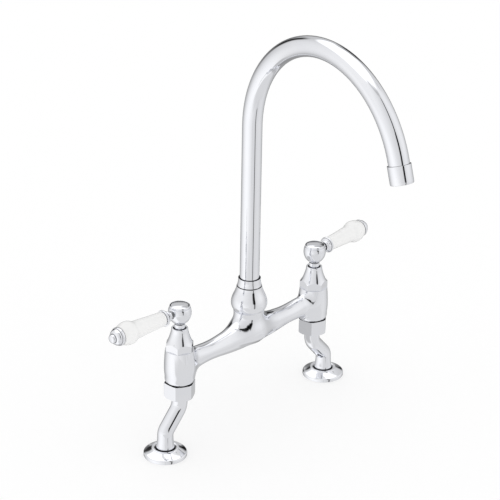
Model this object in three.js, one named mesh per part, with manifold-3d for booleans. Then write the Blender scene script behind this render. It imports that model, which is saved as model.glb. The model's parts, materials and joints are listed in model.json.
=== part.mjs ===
// A bridge kitchen faucet: two quarter-turn valve pillars joined by a cast bridge, a swan-neck spout
// that swivels on the middle of the bridge, and two cranked legs that set the spacing of the tap holes.
// Millimetres, +Z up. The origin lies on the worktop, midway between the pillars, on the spout's
// swivel axis. X runs along the bridge with the left-hand pillar at -X, and -Y is the user's side.
import * as THREE from 'three';
import { mergeVertices } from 'three/addons/utils/BufferGeometryUtils.js';
import Module from 'manifold-3d';

// ---------------------------------------------------------------- driving dimensions

const gap = 0.3;                  // air left between pieces that touch

// layout
const pillarSpacing = 200;        // between the two valve axes
const legOffset = 20;             // crank of a leg: its foot stands this far outside its pillar
const nutLevel = 59.2;            // underside of the union nuts above the worktop
const leverRestTurn = 3.3;        // degrees that the closed levers lean back from the bridge line
const spoutRestTurn = -9.4;       // degrees that the spout stands turned towards the left lever

// spout
const spoutDiameter = 20.4;
const spoutWall = 1.3;
const spoutRise = 198;            // from the bridge's seat to the start of the arch
const archRadius = 108.4;         // centreline radius of the arch
const archShortfall = 17.8;       // degrees by which the arch stops short of pointing straight down
const nozzleStraight = 11.5;      // straight run at the tip, inside the aerator housing
const housingDiameter = 22.8;
const housingLength = 17.8;
const housingSetback = 8.8;       // how far the housing reaches back over the tube's tip
const aeratorLength = 6;
const aeratorPlate = 1.6;
const jetDiameter = 2.6;
const jetCircle = 10;             // diameter of the circle of jets round the middle one
const gasketThickness = 1;

// spout seat on the bridge
const hubTailDiameter = 25.6;     // threaded tail of the hub, screwed into the bridge
const hubTailLength = 7.6;
const hubSeatDiameter = 31.4;
const hubWidest = 36.8;
const hubNeckDiameter = 25.6;
const hubHeight = 26;
const collarFootDiameter = 24.6;
const collarTopDiameter = 22.8;
const collarHeight = 8.8;
const spigotDiameter = 20.8;      // brass spigot that turns in the hub's bore
const spigotLength = 19.4;
const spigotSleeveLength = 11;    // the part of the spigot inside the tube
const spigotWall = 2.2;

// bridge casting
const barrelHeight = 35.4;
const barrelWidest = 31.6;
const barrelTopDiameter = 28.4;
const barrelFootDiameter = 28.6;
const barrelAxisRise = 17.3;      // from the barrel's foot to the bridge's axis
const bossRise = 27.1;            // from the bridge's axis to the hub's seat
const bossNeckDiameter = 30.2;
const armWaist = 19.2;            // thinnest diameter of an arm
const armWaterway = 9;
const bellyDrop = 13.2;           // how far the middle of the bridge hangs below its axis
const tailDiameter = 23.2;        // threaded tail of a barrel, inside its union nut
const tailWaterway = 13;

// union and leg
const nutAcrossFlats = 28;
const nutHeight = 16;
const nutLip = 3;                 // the nut's inward lip that pulls the leg up
const nutCorner = 1.6;            // chamfer on the nut's lower corners
const unionWasherThickness = 1.5;
const legCollarThickness = 2;
const legDiameter = 16.2;
const legWaterway = 10.4;
const crankStart = 6.2;           // straight run of the leg below the nut
const crankAngle = 43;
const upperBendRadius = 15;
const lowerBendRadius = 9.4;
const footDiameter = 18.6;        // the leg swells to this where it enters its flange
const footLength = 9;             // straight part of the foot
const footSwell = 9;              // height over which the leg swells
const flangeDiameter = 43.6;
const flangeHeight = 8.6;
const flangeRim = 3;
const flangeRingDiameter = 27;    // raised ring round the foot
const flangeRingHeight = 0.9;
const flangeGasketThickness = 1.4;
const flangeLand = 3;             // solid rim outside the gasket's recess

// valve
const cartridgeDiameter = 20.4;
const cartridgeBore = 17.2;
const cartridgeFlangeDiameter = 23.2;
const cartridgeFlangeThickness = 2.6;
const cartridgeNeckDiameter = 14;
const cartridgeNeckHeight = 9;
const seatWasherThickness = 1.7;
const discThickness = 2.5;
const driverThickness = 2.5;      // the spindle's foot, which turns the upper disc
const spindleDiameter = 8.4;
const spindleTopDiameter = 7.2;
const windowHeight = 5;           // outlet windows in the cartridge's wall
const windowWidth = 8;
const ringSection = 1.3;          // thickness of every rubber ring

// bonnet
const bonnetAcrossFlats = 26;
const bonnetSkirt = 7.6;          // height of the hexagon
const bonnetFlare = 15.8;         // height of the trumpet above it
const bonnetTopDiameter = 16;
const bonnetMouthDiameter = 13.6;

// lever
const headRadius = 11.6;
const headRise = 16.9;            // from the bonnet's top to the middle of the head
const headDepth = 12.9;           // from the middle of the head down to the end of its curve
const headRimDiameter = 19.8;
const headRimRise = 7.7;          // from the middle of the head to its rim
const headNeckDiameter = 11.4;
const headNeckReach = 3.2;        // how far the head's neck dips into the bonnet
const capThickness = 2.8;
const capDish = 1.2;
const screwDiameter = 3.8;
const screwHeadDiameter = 7.8;
const screwHeadThickness = 2.6;
const screwLength = 9;
const stemDiameter = 5.2;
const stemNeckDiameter = 7;
const socketDiameter = 8.4;
const socketDepth = 2;
const ferruleStart = 15.2;        // distances along the lever are from the spindle's axis
const ferruleLength = 6.8;
const ferruleDiameter = 16.8;
const handleLength = 54.4;
const handleRootDiameter = 14;
const handleWaistDiameter = 18;
const handleBulgeDiameter = 23.4;
const handleEndDiameter = 19;
const endCapDiameter = 18.4;
const endCapBand = 3;
const endCapDome = 4.6;
const buttonDiameter = 8.8;
const buttonLength = 3.8;

// ---------------------------------------------------------------- heights and radii that follow

const halfSpacing = pillarSpacing / 2;
const barrelFoot = nutLevel + nutHeight + gap;
const bridgeAxis = barrelFoot + barrelAxisRise;
const barrelTop = barrelFoot + barrelHeight;
const hubSeat = bridgeAxis + bossRise;
const hubBottom = hubSeat + gap;
const hubTop = hubBottom + hubHeight;
const archLevel = hubSeat + spoutRise;
const bonnetFoot = barrelTop + gap;
const bonnetShoulder = bonnetFoot + bonnetSkirt;
const bonnetTop = bonnetShoulder + bonnetFlare;
const leverLevel = bonnetTop + headRise;
const tubeRadius = spoutDiameter / 2;
const tubeBoreRadius = tubeRadius - spoutWall;
const handleStart = ferruleStart + ferruleLength + gap;
const endCapStart = handleStart + handleLength + gap;
const radians = THREE.MathUtils.degToRad;

// ---------------------------------------------------------------- solids

const wasm = await Module();
wasm.setup();

// Sides of a round piece: enough that its flats lie no more than a quarter of a millimetre deep.
function sidesFor(radius) {
  if (radius > 12.5) return 20;
  if (radius > 7.5) return 16;
  if (radius > 4) return 12;
  return 8;
}

// Radius of a round hole whose flats still clear a round piece that turns inside it.
function holeRadius(innerRadius) {
  const clear = innerRadius + gap;
  return clear / Math.cos(Math.PI / sidesFor(clear));
}

// Keeps only the positions, joins the vertices that coincide and drops triangles without area.
function weld(geometry) {
  const bare = geometry.clone();
  for (const name of Object.keys(bare.attributes)) {
    if (name !== 'position') bare.deleteAttribute(name);
  }
  const joined = mergeVertices(bare, 1e-4);
  const kept = [];
  const index = joined.index.array;
  for (let i = 0; i < index.length; i += 3) {
    const [a, b, c] = [index[i], index[i + 1], index[i + 2]];
    if (a !== b && b !== c && c !== a) kept.push(a, b, c);
  }
  joined.setIndex(kept);
  return joined;
}

function solid(geometry) {
  const closed = weld(geometry);
  return new wasm.Manifold(new wasm.Mesh({
    numProp: 3,
    vertProperties: new Float32Array(closed.attributes.position.array),
    triVerts: new Uint32Array(closed.index.array),
  }));
}

function skin(manifold) {
  const mesh = manifold.getMesh();
  const geometry = new THREE.BufferGeometry();
  geometry.setAttribute('position', new THREE.Float32BufferAttribute(mesh.vertProperties, 3));
  geometry.setIndex(Array.from(mesh.triVerts));
  return geometry;
}

function cut(geometry, ...tools) {
  return skin(tools.reduce((body, tool) => body.subtract(solid(tool)), solid(geometry)));
}

function join(...pieces) {
  return skin(pieces.map(solid).reduce((body, piece) => body.add(piece)));
}

function common(first, second) {
  return skin(solid(first).intersect(solid(second)));
}

// A turned piece round the Z axis, from an outline of [radius, height] points.
function turned(outline) {
  const points = outline.map(([radius, height]) => new THREE.Vector2(radius, height));
  if (THREE.ShapeUtils.area(points) < 0) points.reverse();
  const onAxis = points.some((point) => point.x === 0);
  if (onAxis) {
    while (points[0].x !== 0 || points[points.length - 1].x !== 0) points.push(points.shift());
  } else {
    points.push(points[0].clone());
  }
  const widest = Math.max(...points.map((point) => point.x));
  return weld(new THREE.LatheGeometry(points, sidesFor(widest)).rotateX(Math.PI / 2));
}

// The same piece laid along +X, at the level of the lever's axis.
function turnedAlongX(outline) {
  return turned(outline).rotateY(Math.PI / 2).translate(0, 0, leverLevel);
}

function ring(innerRadius, outerRadius, bottom, top) {
  return turned([[innerRadius, bottom], [outerRadius, bottom], [outerRadius, top], [innerRadius, top]]);
}

// A plug for a round hole of this radius.
function plug(radius, bottom, top) {
  return turned([[0, bottom], [radius, bottom], [radius, top], [0, top]]);
}

function hexBar(acrossFlats, bottom, top) {
  const cornerRadius = acrossFlats / 2 / Math.cos(Math.PI / 6);
  return new THREE.CylinderGeometry(cornerRadius, cornerRadius, top - bottom, 6)
    .rotateX(Math.PI / 2)
    .translate(0, 0, (top + bottom) / 2);
}

// A rubber ring that lies in a groove with this floor radius.
function rubberRing(grooveRadius, level) {
  const half = ringSection / 2;
  const centre = grooveRadius + gap + half;
  const outline = [];
  for (let i = 0; i < 6; i += 1) {
    const angle = radians(i * 60);
    outline.push([centre + half * Math.cos(angle), level + half * Math.sin(angle)]);
  }
  return turned(outline);
}

const grooveHalf = ringSection / 2 + gap;

// Floor of the groove whose rubber ring stands just proud of a wall of this radius.
function grooveFloor(wallRadius) {
  return wallRadius - ringSection - gap / 2;
}

// The outline points of a groove in an outer wall, from its lower edge to its upper edge.
function groove(wallRadius, floorRadius, level) {
  return [
    [wallRadius, level - grooveHalf], [floorRadius, level - grooveHalf],
    [floorRadius, level + grooveHalf], [wallRadius, level + grooveHalf],
  ];
}

// A route through stations of { point, tangent }: a swept section gets one ring at each station.
class Route extends THREE.Curve {
  constructor(stations) {
    super();
    this.stations = stations;
  }

  getUtoTmapping(u) {
    return u;
  }

  between(t, key) {
    const place = t * (this.stations.length - 1);
    const before = this.stations[Math.floor(place)][key];
    const after = this.stations[Math.ceil(place)][key];
    return before.clone().lerp(after, place - Math.floor(place));
  }

  getPoint(t, target = new THREE.Vector3()) {
    return target.copy(this.between(t, 'point'));
  }

  getTangent(t, target = new THREE.Vector3()) {
    return target.copy(this.between(t, 'tangent')).normalize();
  }
}

// Walks along a plane route in the XZ plane: straight runs and bends, heading in degrees from +X.
class Walker {
  constructor(x, z, heading) {
    this.x = x;
    this.z = z;
    this.heading = radians(heading);
    this.stations = [this.station()];
  }

  station() {
    return {
      point: new THREE.Vector3(this.x, 0, this.z),
      tangent: new THREE.Vector3(Math.cos(this.heading), 0, Math.sin(this.heading)),
    };
  }

  run(length) {
    this.x += length * Math.cos(this.heading);
    this.z += length * Math.sin(this.heading);
    this.stations.push(this.station());
    return this;
  }

  bend(radius, degrees, steps) {
    const step = radians(degrees) / steps;
    const chord = 2 * radius * Math.sin(Math.abs(step) / 2);
    for (let i = 0; i < steps; i += 1) {
      this.heading += step / 2;
      this.x += chord * Math.cos(this.heading);
      this.z += chord * Math.sin(this.heading);
      this.heading += step / 2;
      this.stations.push(this.station());
    }
    return this;
  }
}

function circle(radius, PathType = THREE.Shape) {
  const outline = new PathType();
  const sides = sidesFor(radius);
  for (let i = 0; i < sides; i += 1) {
    const angle = (i / sides) * 2 * Math.PI;
    const [x, y] = [radius * Math.cos(angle), radius * Math.sin(angle)];
    if (i === 0) outline.moveTo(x, y);
    else outline.lineTo(x, y);
  }
  outline.closePath();
  return outline;
}

function swept(section, stations) {
  return weld(new THREE.ExtrudeGeometry(section, {
    extrudePath: new Route(stations),
    steps: stations.length - 1,
  }));
}

// ---------------------------------------------------------------- bridge casting

// One station of an arm: its distance from the middle of the bridge, how far its section reaches
// above and below the bridge's axis, and half its width.
function armStations() {
  const waist = armWaist / 2;
  const bossWall = bossNeckDiameter / 2;
  const barrelWall = halfSpacing - barrelWidest / 2;
  const middle = (bossWall + barrelWall) / 2;
  const barrelReach = barrelHeight / 2 - 2;
  return [
    [0, bossWall, bellyDrop, bossWall - 1.6],
    [bossWall * 0.6, bossWall, bellyDrop - 0.1, bossWall - 2.3],
    [bossWall + 0.9, bossWall + 3, bellyDrop - 0.3, bossWall - 2.9],
    [bossWall + 3.2, waist + 8.2, bellyDrop - 0.5, waist + 2.4],
    [bossWall + 6.6, waist + 6.8, bellyDrop - 0.8, waist + 2.1],
    [bossWall + 11, waist + 5.3, bellyDrop - 1.3, waist + 1.7],
    [bossWall + 18, waist + 3.5, bellyDrop - 2, waist + 1.2],
    [middle - 6, waist + 1.9, waist + 0.2, waist + 0.5],
    [middle + 2.4, waist + 1.1, waist - 0.6, waist],
    [middle + 12, waist + 1, waist - 1, waist - 0.1],
    [barrelWall - 9, waist + 2.7, waist + 0.3, waist + 0.2],
    [barrelWall - 4, waist + 4.4, waist + 1.8, waist + 0.8],
    [barrelWall - 0.8, waist + 5.6, waist + 3.4, waist + 1.2],
    [barrelWall + 1.6, barrelReach, barrelReach - 2, waist + 1.6],
    [halfSpacing, barrelReach, barrelReach - 2, waist + 1.6],
  ];
}

// Both arms as one turned bar along X, whose rings are then stretched to each station's section.
function arms() {
  const half = armStations();
  const bar = [...half.slice(1).map(([x, ...reach]) => [-x, ...reach]).reverse(), ...half];
  const unit = bar.map(([x]) => [1, x]);
  const ends = [[0, unit[0][1]], ...unit, [0, unit[unit.length - 1][1]]];
  const geometry = turned(ends).rotateY(Math.PI / 2);
  const position = geometry.attributes.position;
  for (let i = 0; i < position.count; i += 1) {
    const [, above, below, side] = bar.find(([x]) => Math.abs(x - position.getX(i)) < 1e-3);
    position.setY(i, position.getY(i) * side);
    position.setZ(i, bridgeAxis + position.getZ(i) * (position.getZ(i) > 0 ? above : below));
  }
  return geometry;
}

function barrelOutline() {
  const foot = barrelFootDiameter / 2;
  const widest = barrelWidest / 2;
  const top = barrelTopDiameter / 2;
  const tail = tailDiameter / 2;
  return [
    [0, tailBottom], [tail - 0.8, tailBottom], [tail, tailBottom + 0.8], [tail, barrelFoot], [foot, barrelFoot],
    [(foot + widest) / 2 + 0.2, barrelFoot + barrelHeight * 0.16],
    [widest - 0.1, barrelFoot + barrelHeight * 0.36],
    [widest, barrelFoot + barrelHeight * 0.52],
    [widest - 0.5, barrelFoot + barrelHeight * 0.76],
    [top + 0.3, barrelTop - barrelHeight * 0.06], [top, barrelTop], [0, barrelTop],
  ];
}

const legCollarBottom = nutLevel + nutLip + gap;
const legCollarTop = legCollarBottom + legCollarThickness;
const unionWasherBottom = legCollarTop + gap;
const tailBottom = unionWasherBottom + unionWasherThickness + gap;
const tailBoreRadius = tailWaterway / 2;
const chamberRadius = holeRadius(cartridgeDiameter / 2);
const cartridgeBottom = barrelTop + gap - (cartridgeDiameter / 2 + 14.5);
const valveSeat = cartridgeBottom - seatWasherThickness - 2 * gap;
const bossBoreRadius = holeRadius(hubTailDiameter / 2);
const hubTailBottom = hubBottom - hubTailLength;
const bossPocket = hubTailBottom - gap;
const mixingRadius = 9;
const mixingFloor = bridgeAxis - armWaterway / 2;

function bridgeBody() {
  const neck = bossNeckDiameter / 2;
  const boss = turned([
    [0, bridgeAxis - bellyDrop + 2], [neck * 0.5, bridgeAxis - bellyDrop * 0.7],
    [neck * 0.85, bridgeAxis - bellyDrop * 0.2], [neck * 0.97, bridgeAxis + bossRise * 0.2],
    [neck, bridgeAxis + bossRise * 0.6], [neck + 0.1, hubSeat - 3.6],
    [hubSeatDiameter / 2, hubSeat - 1.2], [hubSeatDiameter / 2, hubSeat], [0, hubSeat],
  ]);
  const waterway = turned([
    [0, -halfSpacing], [armWaterway / 2, -halfSpacing], [armWaterway / 2, halfSpacing], [0, halfSpacing],
  ]).rotateY(Math.PI / 2).translate(0, 0, bridgeAxis);
  const pieces = [arms(), boss];
  const holes = [
    waterway,
    plug(bossBoreRadius, bossPocket, hubSeat + 1),
    plug(mixingRadius, mixingFloor, bossPocket + 1),
  ];
  for (const side of [-1, 1]) {
    pieces.push(turned(barrelOutline()).translate(side * halfSpacing, 0, 0));
    holes.push(plug(chamberRadius, valveSeat, barrelTop + 1).translate(side * halfSpacing, 0, 0));
    holes.push(plug(tailBoreRadius, tailBottom - 1, valveSeat + 1).translate(side * halfSpacing, 0, 0));
  }
  return cut(join(...pieces), ...holes);
}

// ---------------------------------------------------------------- spout seat

const spigotTop = hubTop - 10.5;
const spigotBottom = spigotTop - spigotLength;
const spigotRadius = spigotDiameter / 2;
const spigotGrooveRadius = grooveFloor(spigotRadius);
const lowerRingLevel = spigotBottom + 4;
const upperRingLevel = lowerRingLevel + 5;
const slipRingBottom = upperRingLevel + 3.6;
const slipRingHeight = 3.6;
const hubBoreRadius = holeRadius(spigotRadius);
const tubeFoot = spigotTop + gap;

function spoutHub() {
  const widest = hubWidest / 2;
  const neck = hubNeckDiameter / 2;
  return turned([
    [hubBoreRadius, hubTailBottom], [hubTailDiameter / 2 - 0.6, hubTailBottom],
    [hubTailDiameter / 2, hubTailBottom + 0.6], [hubTailDiameter / 2, hubBottom],
    [hubSeatDiameter / 2, hubBottom], [widest * 0.92, hubBottom + hubHeight * 0.08],
    [widest * 0.99, hubBottom + hubHeight * 0.2], [widest, hubBottom + hubHeight * 0.3],
    [widest * 0.96, hubBottom + hubHeight * 0.46], [widest * 0.85, hubBottom + hubHeight * 0.66],
    [neck + 0.8, hubBottom + hubHeight * 0.86], [neck, hubTop - 0.8], [neck - 0.5, hubTop],
    [hubBoreRadius, hubTop],
  ]);
}

function spoutSpigot() {
  const bore = tubeBoreRadius - gap - spigotWall;
  const sleeve = tubeBoreRadius - gap;
  return turned([
    [bore, spigotBottom], [spigotRadius - 0.6, spigotBottom], [spigotRadius, spigotBottom + 0.6],
    ...groove(spigotRadius, spigotGrooveRadius, lowerRingLevel),
    ...groove(spigotRadius, spigotGrooveRadius, upperRingLevel),
    [spigotRadius, slipRingBottom - gap], [spigotGrooveRadius, slipRingBottom - gap],
    [spigotGrooveRadius, slipRingBottom + slipRingHeight + gap],
    [spigotRadius, slipRingBottom + slipRingHeight + gap],
    [spigotRadius, spigotTop], [sleeve, spigotTop],
    [sleeve, spigotTop + spigotSleeveLength], [bore, spigotTop + spigotSleeveLength],
  ]);
}

function spoutCollar() {
  const foot = collarFootDiameter / 2;
  const top = collarTopDiameter / 2;
  const bottom = hubTop + gap;
  const bore = holeRadius(tubeRadius);
  return turned([
    [bore, bottom], [foot - 0.4, bottom], [foot, bottom + 0.5], [foot - 0.3, bottom + 1.6],
    [top, bottom + collarHeight - 2.6], [top, bottom + collarHeight - 0.3],
    [top - 0.3, bottom + collarHeight], [bore, bottom + collarHeight],
  ]);
}

// ---------------------------------------------------------------- spout tube and aerator

// The centreline of the spout in its own plane, leading away along +X.
function spoutStations() {
  return new Walker(0, tubeFoot, 90)
    .run(archLevel - tubeFoot)
    .bend(archRadius, archShortfall - 180, 18)
    .run(nozzleStraight)
    .stations;
}

const tip = spoutStations().at(-1);

function spoutTube() {
  const section = circle(tubeRadius);
  section.holes.push(circle(tubeBoreRadius, THREE.Path));
  return swept(section, spoutStations());
}

// Aerator pieces are turned with their outlet towards +Z and their zero at the tube's tip.
const housingBoreRadius = holeRadius(tubeRadius);
const housingFront = housingLength - housingSetback;
const aeratorGasketStart = gap;
const aeratorStart = aeratorGasketStart + gasketThickness + gap;
const aeratorRadius = housingBoreRadius * Math.cos(Math.PI / sidesFor(housingBoreRadius)) - gap;

function aeratorHousing() {
  const outer = housingDiameter / 2;
  return turned([
    [housingBoreRadius, -housingSetback], [outer - 0.4, -housingSetback], [outer, 0.4 - housingSetback],
    [outer, housingFront - 2.2], [outer - 0.2, housingFront - 1], [outer - 0.7, housingFront],
    [housingBoreRadius, housingFront],
  ]);
}

function aeratorInsert() {
  const wall = 1.4;
  const end = aeratorStart + aeratorLength;
  const cup = turned([
    [0, aeratorStart], [aeratorRadius, aeratorStart], [aeratorRadius, end],
    [aeratorRadius - wall, end], [aeratorRadius - wall, aeratorStart + aeratorPlate],
    [0, aeratorStart + aeratorPlate],
  ]);
  const jets = [];
  const circles = [[0, 1], [jetCircle / 2, 8]];
  for (const [radius, count] of circles) {
    for (let i = 0; i < count; i += 1) {
      const angle = (i / count) * 2 * Math.PI;
      jets.push(new THREE.CylinderGeometry(jetDiameter / 2, jetDiameter / 2, 3 * aeratorPlate, 6)
        .rotateX(Math.PI / 2)
        .translate(radius * Math.cos(angle), radius * Math.sin(angle), aeratorStart));
    }
  }
  return cut(cup, ...jets);
}

// ---------------------------------------------------------------- union and leg

function unionNut() {
  const corner = nutAcrossFlats / 2 / Math.cos(Math.PI / 6);
  const lipRadius = holeRadius(legDiameter / 2);
  const threadRadius = holeRadius(tailDiameter / 2);
  const top = nutLevel + nutHeight;
  const turning = turned([
    [lipRadius, nutLevel], [corner - nutCorner, nutLevel], [corner, nutLevel + nutCorner],
    [corner, top - 0.6], [corner - 1, top], [threadRadius, top],
    [threadRadius, nutLevel + nutLip], [lipRadius, nutLevel + nutLip],
  ]);
  return common(hexBar(nutAcrossFlats, nutLevel, top), turning);
}

function legStations(overrun) {
  const rise = (1 - Math.cos(radians(crankAngle))) * (upperBendRadius + lowerBendRadius);
  const slope = (legOffset - rise) / Math.sin(radians(crankAngle));
  const start = legCollarTop + overrun;
  const walker = new Walker(0, start, -90)
    .run(start - nutLevel + crankStart)
    .bend(upperBendRadius, crankAngle, 3)
    .run(slope)
    .bend(lowerBendRadius, -crankAngle, 3);
  return walker.run(walker.z + overrun).stations;
}

function crankPipe() {
  const radius = legDiameter / 2;
  const foot = footDiameter / 2;
  const collarRadius = tailDiameter / 2 - gap;
  const collar = ring(legWaterway / 2 - 1, collarRadius, legCollarBottom, legCollarTop);
  const swell = turned([
    [legWaterway / 2 - 1, 0], [foot, 0], [foot, footLength],
    [(foot + radius) / 2 - 0.2, footLength + footSwell * 0.5],
    [radius - 0.2, footLength + footSwell], [legWaterway / 2 - 1, footLength + footSwell],
  ]).translate(legOffset, 0, 0);
  const outside = join(swept(circle(radius), legStations(0)), collar, swell);
  return cut(outside, swept(circle(legWaterway / 2), legStations(1)));
}

const gasketOuterRadius = flangeDiameter / 2 - flangeLand - gap;
const gasketInnerRadius = footDiameter / 2 + 1.6;

function deckFlange() {
  const outer = flangeDiameter / 2;
  const ringRadius = flangeRingDiameter / 2;
  const bore = holeRadius(footDiameter / 2);
  const recess = flangeGasketThickness + gap;
  return turned([
    [bore, 0.4], [gasketInnerRadius - gap, 0.4], [gasketInnerRadius - gap, recess],
    [outer - flangeLand, recess], [outer - flangeLand, 0], [outer, 0], [outer, flangeRim],
    [outer - 0.7, flangeRim + 0.8], [ringRadius + 0.5, flangeHeight - flangeRingHeight],
    [ringRadius, flangeHeight], [bore + 1.4, flangeHeight], [bore, flangeHeight - 0.6],
  ]).translate(legOffset, 0, 0);
}

// ---------------------------------------------------------------- valve

const cartridgeRadius = cartridgeDiameter / 2;
const discRadius = cartridgeBore / 2 - gap;
const fixedDiscBottom = cartridgeBottom;
const turningDiscBottom = fixedDiscBottom + discThickness + gap;
const driverBottom = turningDiscBottom + discThickness + gap;
const chamberRoof = driverBottom + driverThickness + gap;
const cartridgeFlangeBottom = barrelTop + gap;
const cartridgeNeckBottom = cartridgeFlangeBottom + cartridgeFlangeThickness;
const cartridgeNeckTop = cartridgeNeckBottom + cartridgeNeckHeight;
const spindleRadius = spindleDiameter / 2;
const glandRadius = holeRadius(spindleRadius);
const spindleRingLevel = cartridgeNeckBottom;
const spindleGrooveRadius = grooveFloor(spindleRadius);
const cartridgeRingLevel = cartridgeFlangeBottom - 5;
const cartridgeGrooveRadius = grooveFloor(cartridgeRadius);
const spindleShoulder = bonnetTop - headNeckReach - gap;
const spindleTop = leverLevel - 3;

function valveCartridge() {
  const flange = cartridgeFlangeDiameter / 2;
  const neck = cartridgeNeckDiameter / 2;
  const body = turned([
    [cartridgeBore / 2, cartridgeBottom], [cartridgeRadius, cartridgeBottom],
    ...groove(cartridgeRadius, cartridgeGrooveRadius, cartridgeRingLevel),
    [cartridgeRadius, cartridgeFlangeBottom], [flange, cartridgeFlangeBottom],
    [flange, cartridgeNeckBottom], [neck, cartridgeNeckBottom], [neck, cartridgeNeckTop],
    [glandRadius, cartridgeNeckTop], [glandRadius, chamberRoof], [cartridgeBore / 2, chamberRoof],
  ]);
  const windowLevel = driverBottom + windowHeight / 2 - discThickness;
  const windows = new THREE.BoxGeometry(cartridgeDiameter * 2, windowWidth, windowHeight)
    .translate(0, 0, windowLevel);
  const keep = plug(cartridgeBore / 2 + 0.05, windowLevel - windowHeight, windowLevel + windowHeight);
  return cut(body, cut(windows, keep));
}

// A ceramic disc with two openings a quarter of a turn wide.
function ceramicDisc(bottom) {
  const opening = new THREE.Shape();
  const inner = discRadius * 0.28;
  const outer = discRadius * 0.78;
  opening.absarc(0, 0, outer, radians(-38), radians(38), false);
  opening.absarc(0, 0, inner, radians(38), radians(-38), true);
  opening.closePath();
  const window = new THREE.ExtrudeGeometry(opening, { depth: discThickness * 2, bevelEnabled: false, curveSegments: 3 })
    .translate(0, 0, bottom - discThickness / 2);
  return cut(plug(discRadius, bottom, bottom + discThickness), window, window.clone().rotateZ(Math.PI));
}

function valveSpindle() {
  const top = spindleTopDiameter / 2;
  const hole = holeRadius(screwDiameter / 2);
  const holeBottom = screwTip - gap;
  return turned([
    [0, driverBottom], [discRadius - 0.4, driverBottom], [discRadius - 0.4, driverBottom + driverThickness],
    [spindleRadius, driverBottom + driverThickness],
    ...groove(spindleRadius, spindleGrooveRadius, spindleRingLevel),
    [spindleRadius, spindleShoulder], [top, spindleShoulder], [top, spindleTop], [hole, spindleTop],
    [hole, holeBottom], [0, holeBottom],
  ]);
}

function bonnet() {
  const flat = bonnetAcrossFlats / 2;
  const corner = flat / Math.cos(Math.PI / 6);
  const top = bonnetTopDiameter / 2;
  const mouth = bonnetMouthDiameter / 2;
  const skirtBore = holeRadius(cartridgeFlangeDiameter / 2);
  const neckBore = holeRadius(cartridgeNeckDiameter / 2);
  const skirtRoof = cartridgeNeckBottom + gap;
  const turning = turned([
    [skirtBore, bonnetFoot], [corner, bonnetFoot], [corner, bonnetShoulder - 1.2],
    [flat + 0.2, bonnetShoulder], [flat - 2, bonnetShoulder + bonnetFlare * 0.25],
    [flat - 3.55, bonnetShoulder + bonnetFlare * 0.5], [top + 0.35, bonnetShoulder + bonnetFlare * 0.75],
    [top, bonnetTop - 1], [top - 0.4, bonnetTop], [mouth, bonnetTop],
    [mouth, cartridgeNeckTop + 1.6], [neckBore, cartridgeNeckTop + gap],
    [neckBore, skirtRoof + 3.5], [skirtBore, skirtRoof],
  ]);
  return common(hexBar(bonnetAcrossFlats, bonnetFoot, bonnetTop), turning);
}

// ---------------------------------------------------------------- lever

const rimLevel = leverLevel + headRimRise;
const capBottom = rimLevel - capThickness - 0.6;
const capRadius = headRimDiameter / 2 - 1;
const screwHeadTop = capBottom - gap;
const screwHeadBottom = screwHeadTop - screwHeadThickness;
const screwSeat = screwHeadBottom - gap;
const screwTip = screwHeadBottom - screwLength;
const headNeckBottom = bonnetTop - headNeckReach;

function leverHead() {
  const neck = headNeckDiameter / 2;
  const neckAngle = Math.asin(neck / headRadius);
  const outline = [];
  const spindleSocket = holeRadius(spindleTopDiameter / 2);
  const screwHole = holeRadius(screwDiameter / 2);
  const screwPocket = holeRadius(screwHeadDiameter / 2);
  const capPocket = holeRadius(capRadius);
  const lowerSteps = 4;
  for (let i = 0; i <= lowerSteps; i += 1) {
    const angle = neckAngle + ((Math.PI / 2 - neckAngle) * i) / lowerSteps;
    outline.push([headRadius * Math.sin(angle), leverLevel - headDepth * Math.cos(angle)]);
  }
  const rim = headRimDiameter / 2 + 0.2;
  outline.push([headRadius * 0.975, leverLevel + headRimRise * 0.4]);
  outline.push([headRadius * 0.92, leverLevel + headRimRise * 0.75]);
  outline.push([rim, rimLevel - 0.4], [rim - 0.4, rimLevel]);
  outline.push([capPocket, rimLevel], [capPocket, capBottom - gap], [screwPocket, capBottom - gap]);
  outline.push([screwPocket, screwSeat], [screwHole, screwSeat], [screwHole, spindleTop + gap]);
  outline.push([spindleSocket, spindleTop + gap], [spindleSocket, headNeckBottom], [neck, headNeckBottom]);
  const socket = turnedAlongX([
    [0, stemRoot - gap], [holeRadius(stemDiameter / 2), stemRoot - gap],
    [holeRadius(stemDiameter / 2), headRadius - socketDepth], [socketDiameter / 2, headRadius - socketDepth],
    [socketDiameter / 2, headRadius + 2], [0, headRadius + 2],
  ]);
  return cut(turned(outline), socket);
}

function headScrew() {
  const shank = screwDiameter / 2;
  const head = screwHeadDiameter / 2;
  const slot = new THREE.BoxGeometry(screwHeadDiameter + 1, 1.2, 2).translate(0, 0, screwHeadTop);
  return cut(turned([
    [0, screwTip], [shank - 0.5, screwTip], [shank, screwTip + 0.6], [shank, screwHeadBottom],
    [head, screwHeadBottom], [head, screwHeadTop - 0.6], [head - 0.8, screwHeadTop], [0, screwHeadTop],
  ]), slot);
}

function indexCap() {
  const top = capBottom + capThickness;
  return turned([
    [0, capBottom], [capRadius, capBottom], [capRadius, top - 0.3], [capRadius - 0.3, top],
    [capRadius - 1, top], [capRadius * 0.6, top - capDish * 0.75], [0, top - capDish],
  ]);
}

const stemRoot = screwHeadDiameter / 2 + 2;
const stemEnd = endCapStart + endCapBand;

function leverStem() {
  const rod = stemDiameter / 2;
  const neck = stemNeckDiameter / 2;
  const neckStart = headRadius - socketDepth + gap;
  return turnedAlongX([
    [0, stemRoot], [rod, stemRoot], [rod, neckStart], [neck - 0.4, neckStart], [neck, neckStart + 0.4],
    [neck - 0.3, (neckStart + ferruleStart) / 2], [neck, ferruleStart - gap], [rod, ferruleStart - gap],
    [rod, stemEnd], [0, stemEnd],
  ]);
}

const rodHole = holeRadius(stemDiameter / 2);

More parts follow.
